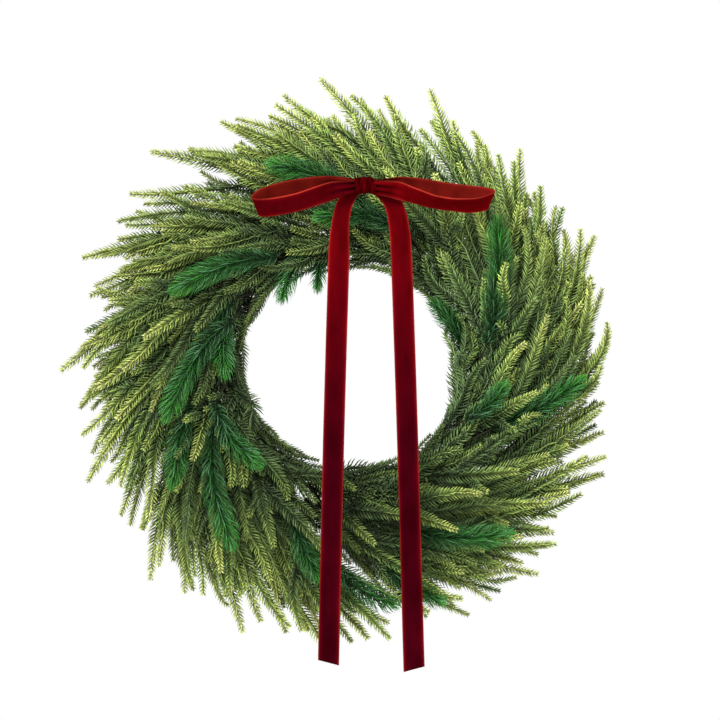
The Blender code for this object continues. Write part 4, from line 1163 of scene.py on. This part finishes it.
class Look:
    """A material with its shader's sockets set by name, which noises on the object's own coordinates
    can vary. A noise's scale is in turns a metre; its middle values are spread over a range."""

    MIDDLE = (0.3, 0.7)

    def __init__(self, name, values):
        self.made = bpy.data.materials.new(name)
        self.made.use_nodes = True
        self.link = self.made.node_tree.links.new
        self.shader = self.made.node_tree.nodes["Principled BSDF"]
        for socket, value in values.items():
            self.shader.inputs[socket].default_value = value

    def node(self, kind, **values):
        made = self.made.node_tree.nodes.new(kind)
        for socket, value in values.items():
            made.inputs[socket.replace("_", " ")].default_value = value
        return made

    def noise(self, scale, detail=3.0, stretch=None):
        where = self.node("ShaderNodeTexCoord").outputs["Object"]
        if stretch:
            mapping = self.node("ShaderNodeMapping", Scale=stretch)
            self.link(where, mapping.inputs["Vector"])
            where = mapping.outputs["Vector"]
        made = self.node("ShaderNodeTexNoise", Scale=scale, Detail=detail)
        self.link(where, made.inputs["Vector"])
        return made.outputs["Fac"]

    def spread(self, noise, low, high):
        made = self.node("ShaderNodeMapRange", From_Min=self.MIDDLE[0], From_Max=self.MIDDLE[1],
                         To_Min=low, To_Max=high)
        self.link(noise, made.inputs["Value"])
        return made.outputs["Result"]

    def tint(self, noise, low, high):
        """The piece's own tint, darkened and lightened by a noise."""
        tint = self.node("ShaderNodeAttribute")
        tint.attribute_name = "tint"
        product = self.node("ShaderNodeVectorMath")
        product.operation = "SCALE"
        self.link(tint.outputs["Color"], product.inputs[0])
        self.link(self.spread(noise, low, high), product.inputs["Scale"])
        self.link(product.outputs["Vector"], self.shader.inputs["Base Color"])

    def roughen(self, noise, low, high):
        self.link(self.spread(noise, low, high), self.shader.inputs["Roughness"])

    def bump(self, noise, distance, strength):
        bump = self.node("ShaderNodeBump", Distance=distance, Strength=strength)
        self.link(noise, bump.inputs["Height"])
        self.link(bump.outputs["Normal"], self.shader.inputs["Normal"])


def needle_material(name, roughness):
    look = Look(name, {"Specular IOR Level": 0.16})
    look.tint(look.noise(45.0), 0.82, 1.16)
    fine = look.noise(900.0, 2.0)
    look.roughen(fine, roughness - 0.08, roughness + 0.10)
    look.bump(fine, 0.0002, 0.3)
    return look.made


def velvet_material():
    look = Look("velvet_pile", {"Roughness": 0.85, "Specular IOR Level": 0.0, "Sheen Weight": 0.08,
                                "Sheen Roughness": 0.30, "Sheen Tint": (0.90, 0.08, 0.05, 1.0)})
    look.tint(look.noise(60.0, 3.0, (1.0, 1.0, 0.35)), 0.70, 1.32)
    look.bump(look.noise(2600.0, 2.0), 0.0003, 0.6)
    return look.made


def tape_material():
    look = Look("paper_tape", {"Roughness": 0.85})
    fibres = look.noise(380.0, 4.0)
    look.tint(fibres, 0.7, 1.25)
    look.bump(fibres, 0.0003, 0.5)
    return look.made


def wire_material():
    look = Look("green_wire", {"Specular IOR Level": 0.08})
    worn = look.noise(700.0)
    look.tint(worn, 0.8, 1.2)
    look.roughen(worn, 0.6, 0.8)
    return look.made


# Floor, light and camera

VIEW_WIDE = 0.785
VIEW_FAR = 6.0
VIEW_CENTRE = (0.0109, -0.03, RING_CENTRE_Z + 0.0065)
SENSOR = 36.0
FLOOR_AT = (0.0, -0.5, -0.95)
FLOOR_SIZE = 13.0
# Each lamp's name, place, size and power
LAMPS = (("key", (-0.9, -2.2, 1.5), 1.0, 130.0), ("fill", (1.6, -2.2, 0.4), 1.8, 36.0))


def studio():
    bpy.ops.mesh.primitive_plane_add(size=1.0, location=FLOOR_AT)
    floor = bpy.context.object
    floor.name = "floor"
    floor.scale = (FLOOR_SIZE, FLOOR_SIZE, 1.0)
    highlighted = Look("pale_floor", {"Base Color": (0.85, 0.85, 0.85, 1.0), "Roughness": 0.8})
    floor.data.materials.append(highlighted.made)

    world = bpy.context.scene.world or bpy.data.worlds.new("studio")
    bpy.context.scene.world = world
    world.use_nodes = True
    background = world.node_tree.nodes["Background"]
    background.inputs["Color"].default_value = (1.0, 1.0, 1.0, 1.0)
    background.inputs["Strength"].default_value = 1.0

    for name, place, size, power in LAMPS:
        lamp = bpy.data.lights.new(name, "AREA")
        lamp.size = size
        lamp.energy = power
        aim = Vector(VIEW_CENTRE) - Vector(place)
        put(name, lamp, place, aim.to_track_quat("-Z", "Y").to_euler())

    lens = bpy.data.cameras.new("camera")
    lens.sensor_width = SENSOR
    lens.lens = SENSOR * VIEW_FAR / VIEW_WIDE
    lens.clip_end = 40.0
    place = (VIEW_CENTRE[0], VIEW_CENTRE[1] - VIEW_FAR, VIEW_CENTRE[2])
    bpy.context.scene.camera = put("camera", lens, place, (math.pi / 2, 0.0, 0.0))
    bpy.context.scene.view_settings.view_transform = "Standard"


velvet = velvet_material()
foliage(needle_material("pine_needles", 0.50), needle_material("fir_needles", 0.46))
taped_ring(tape_material())
tie_wire(wire_material())
bow(velvet)
knot(velvet)
studio()
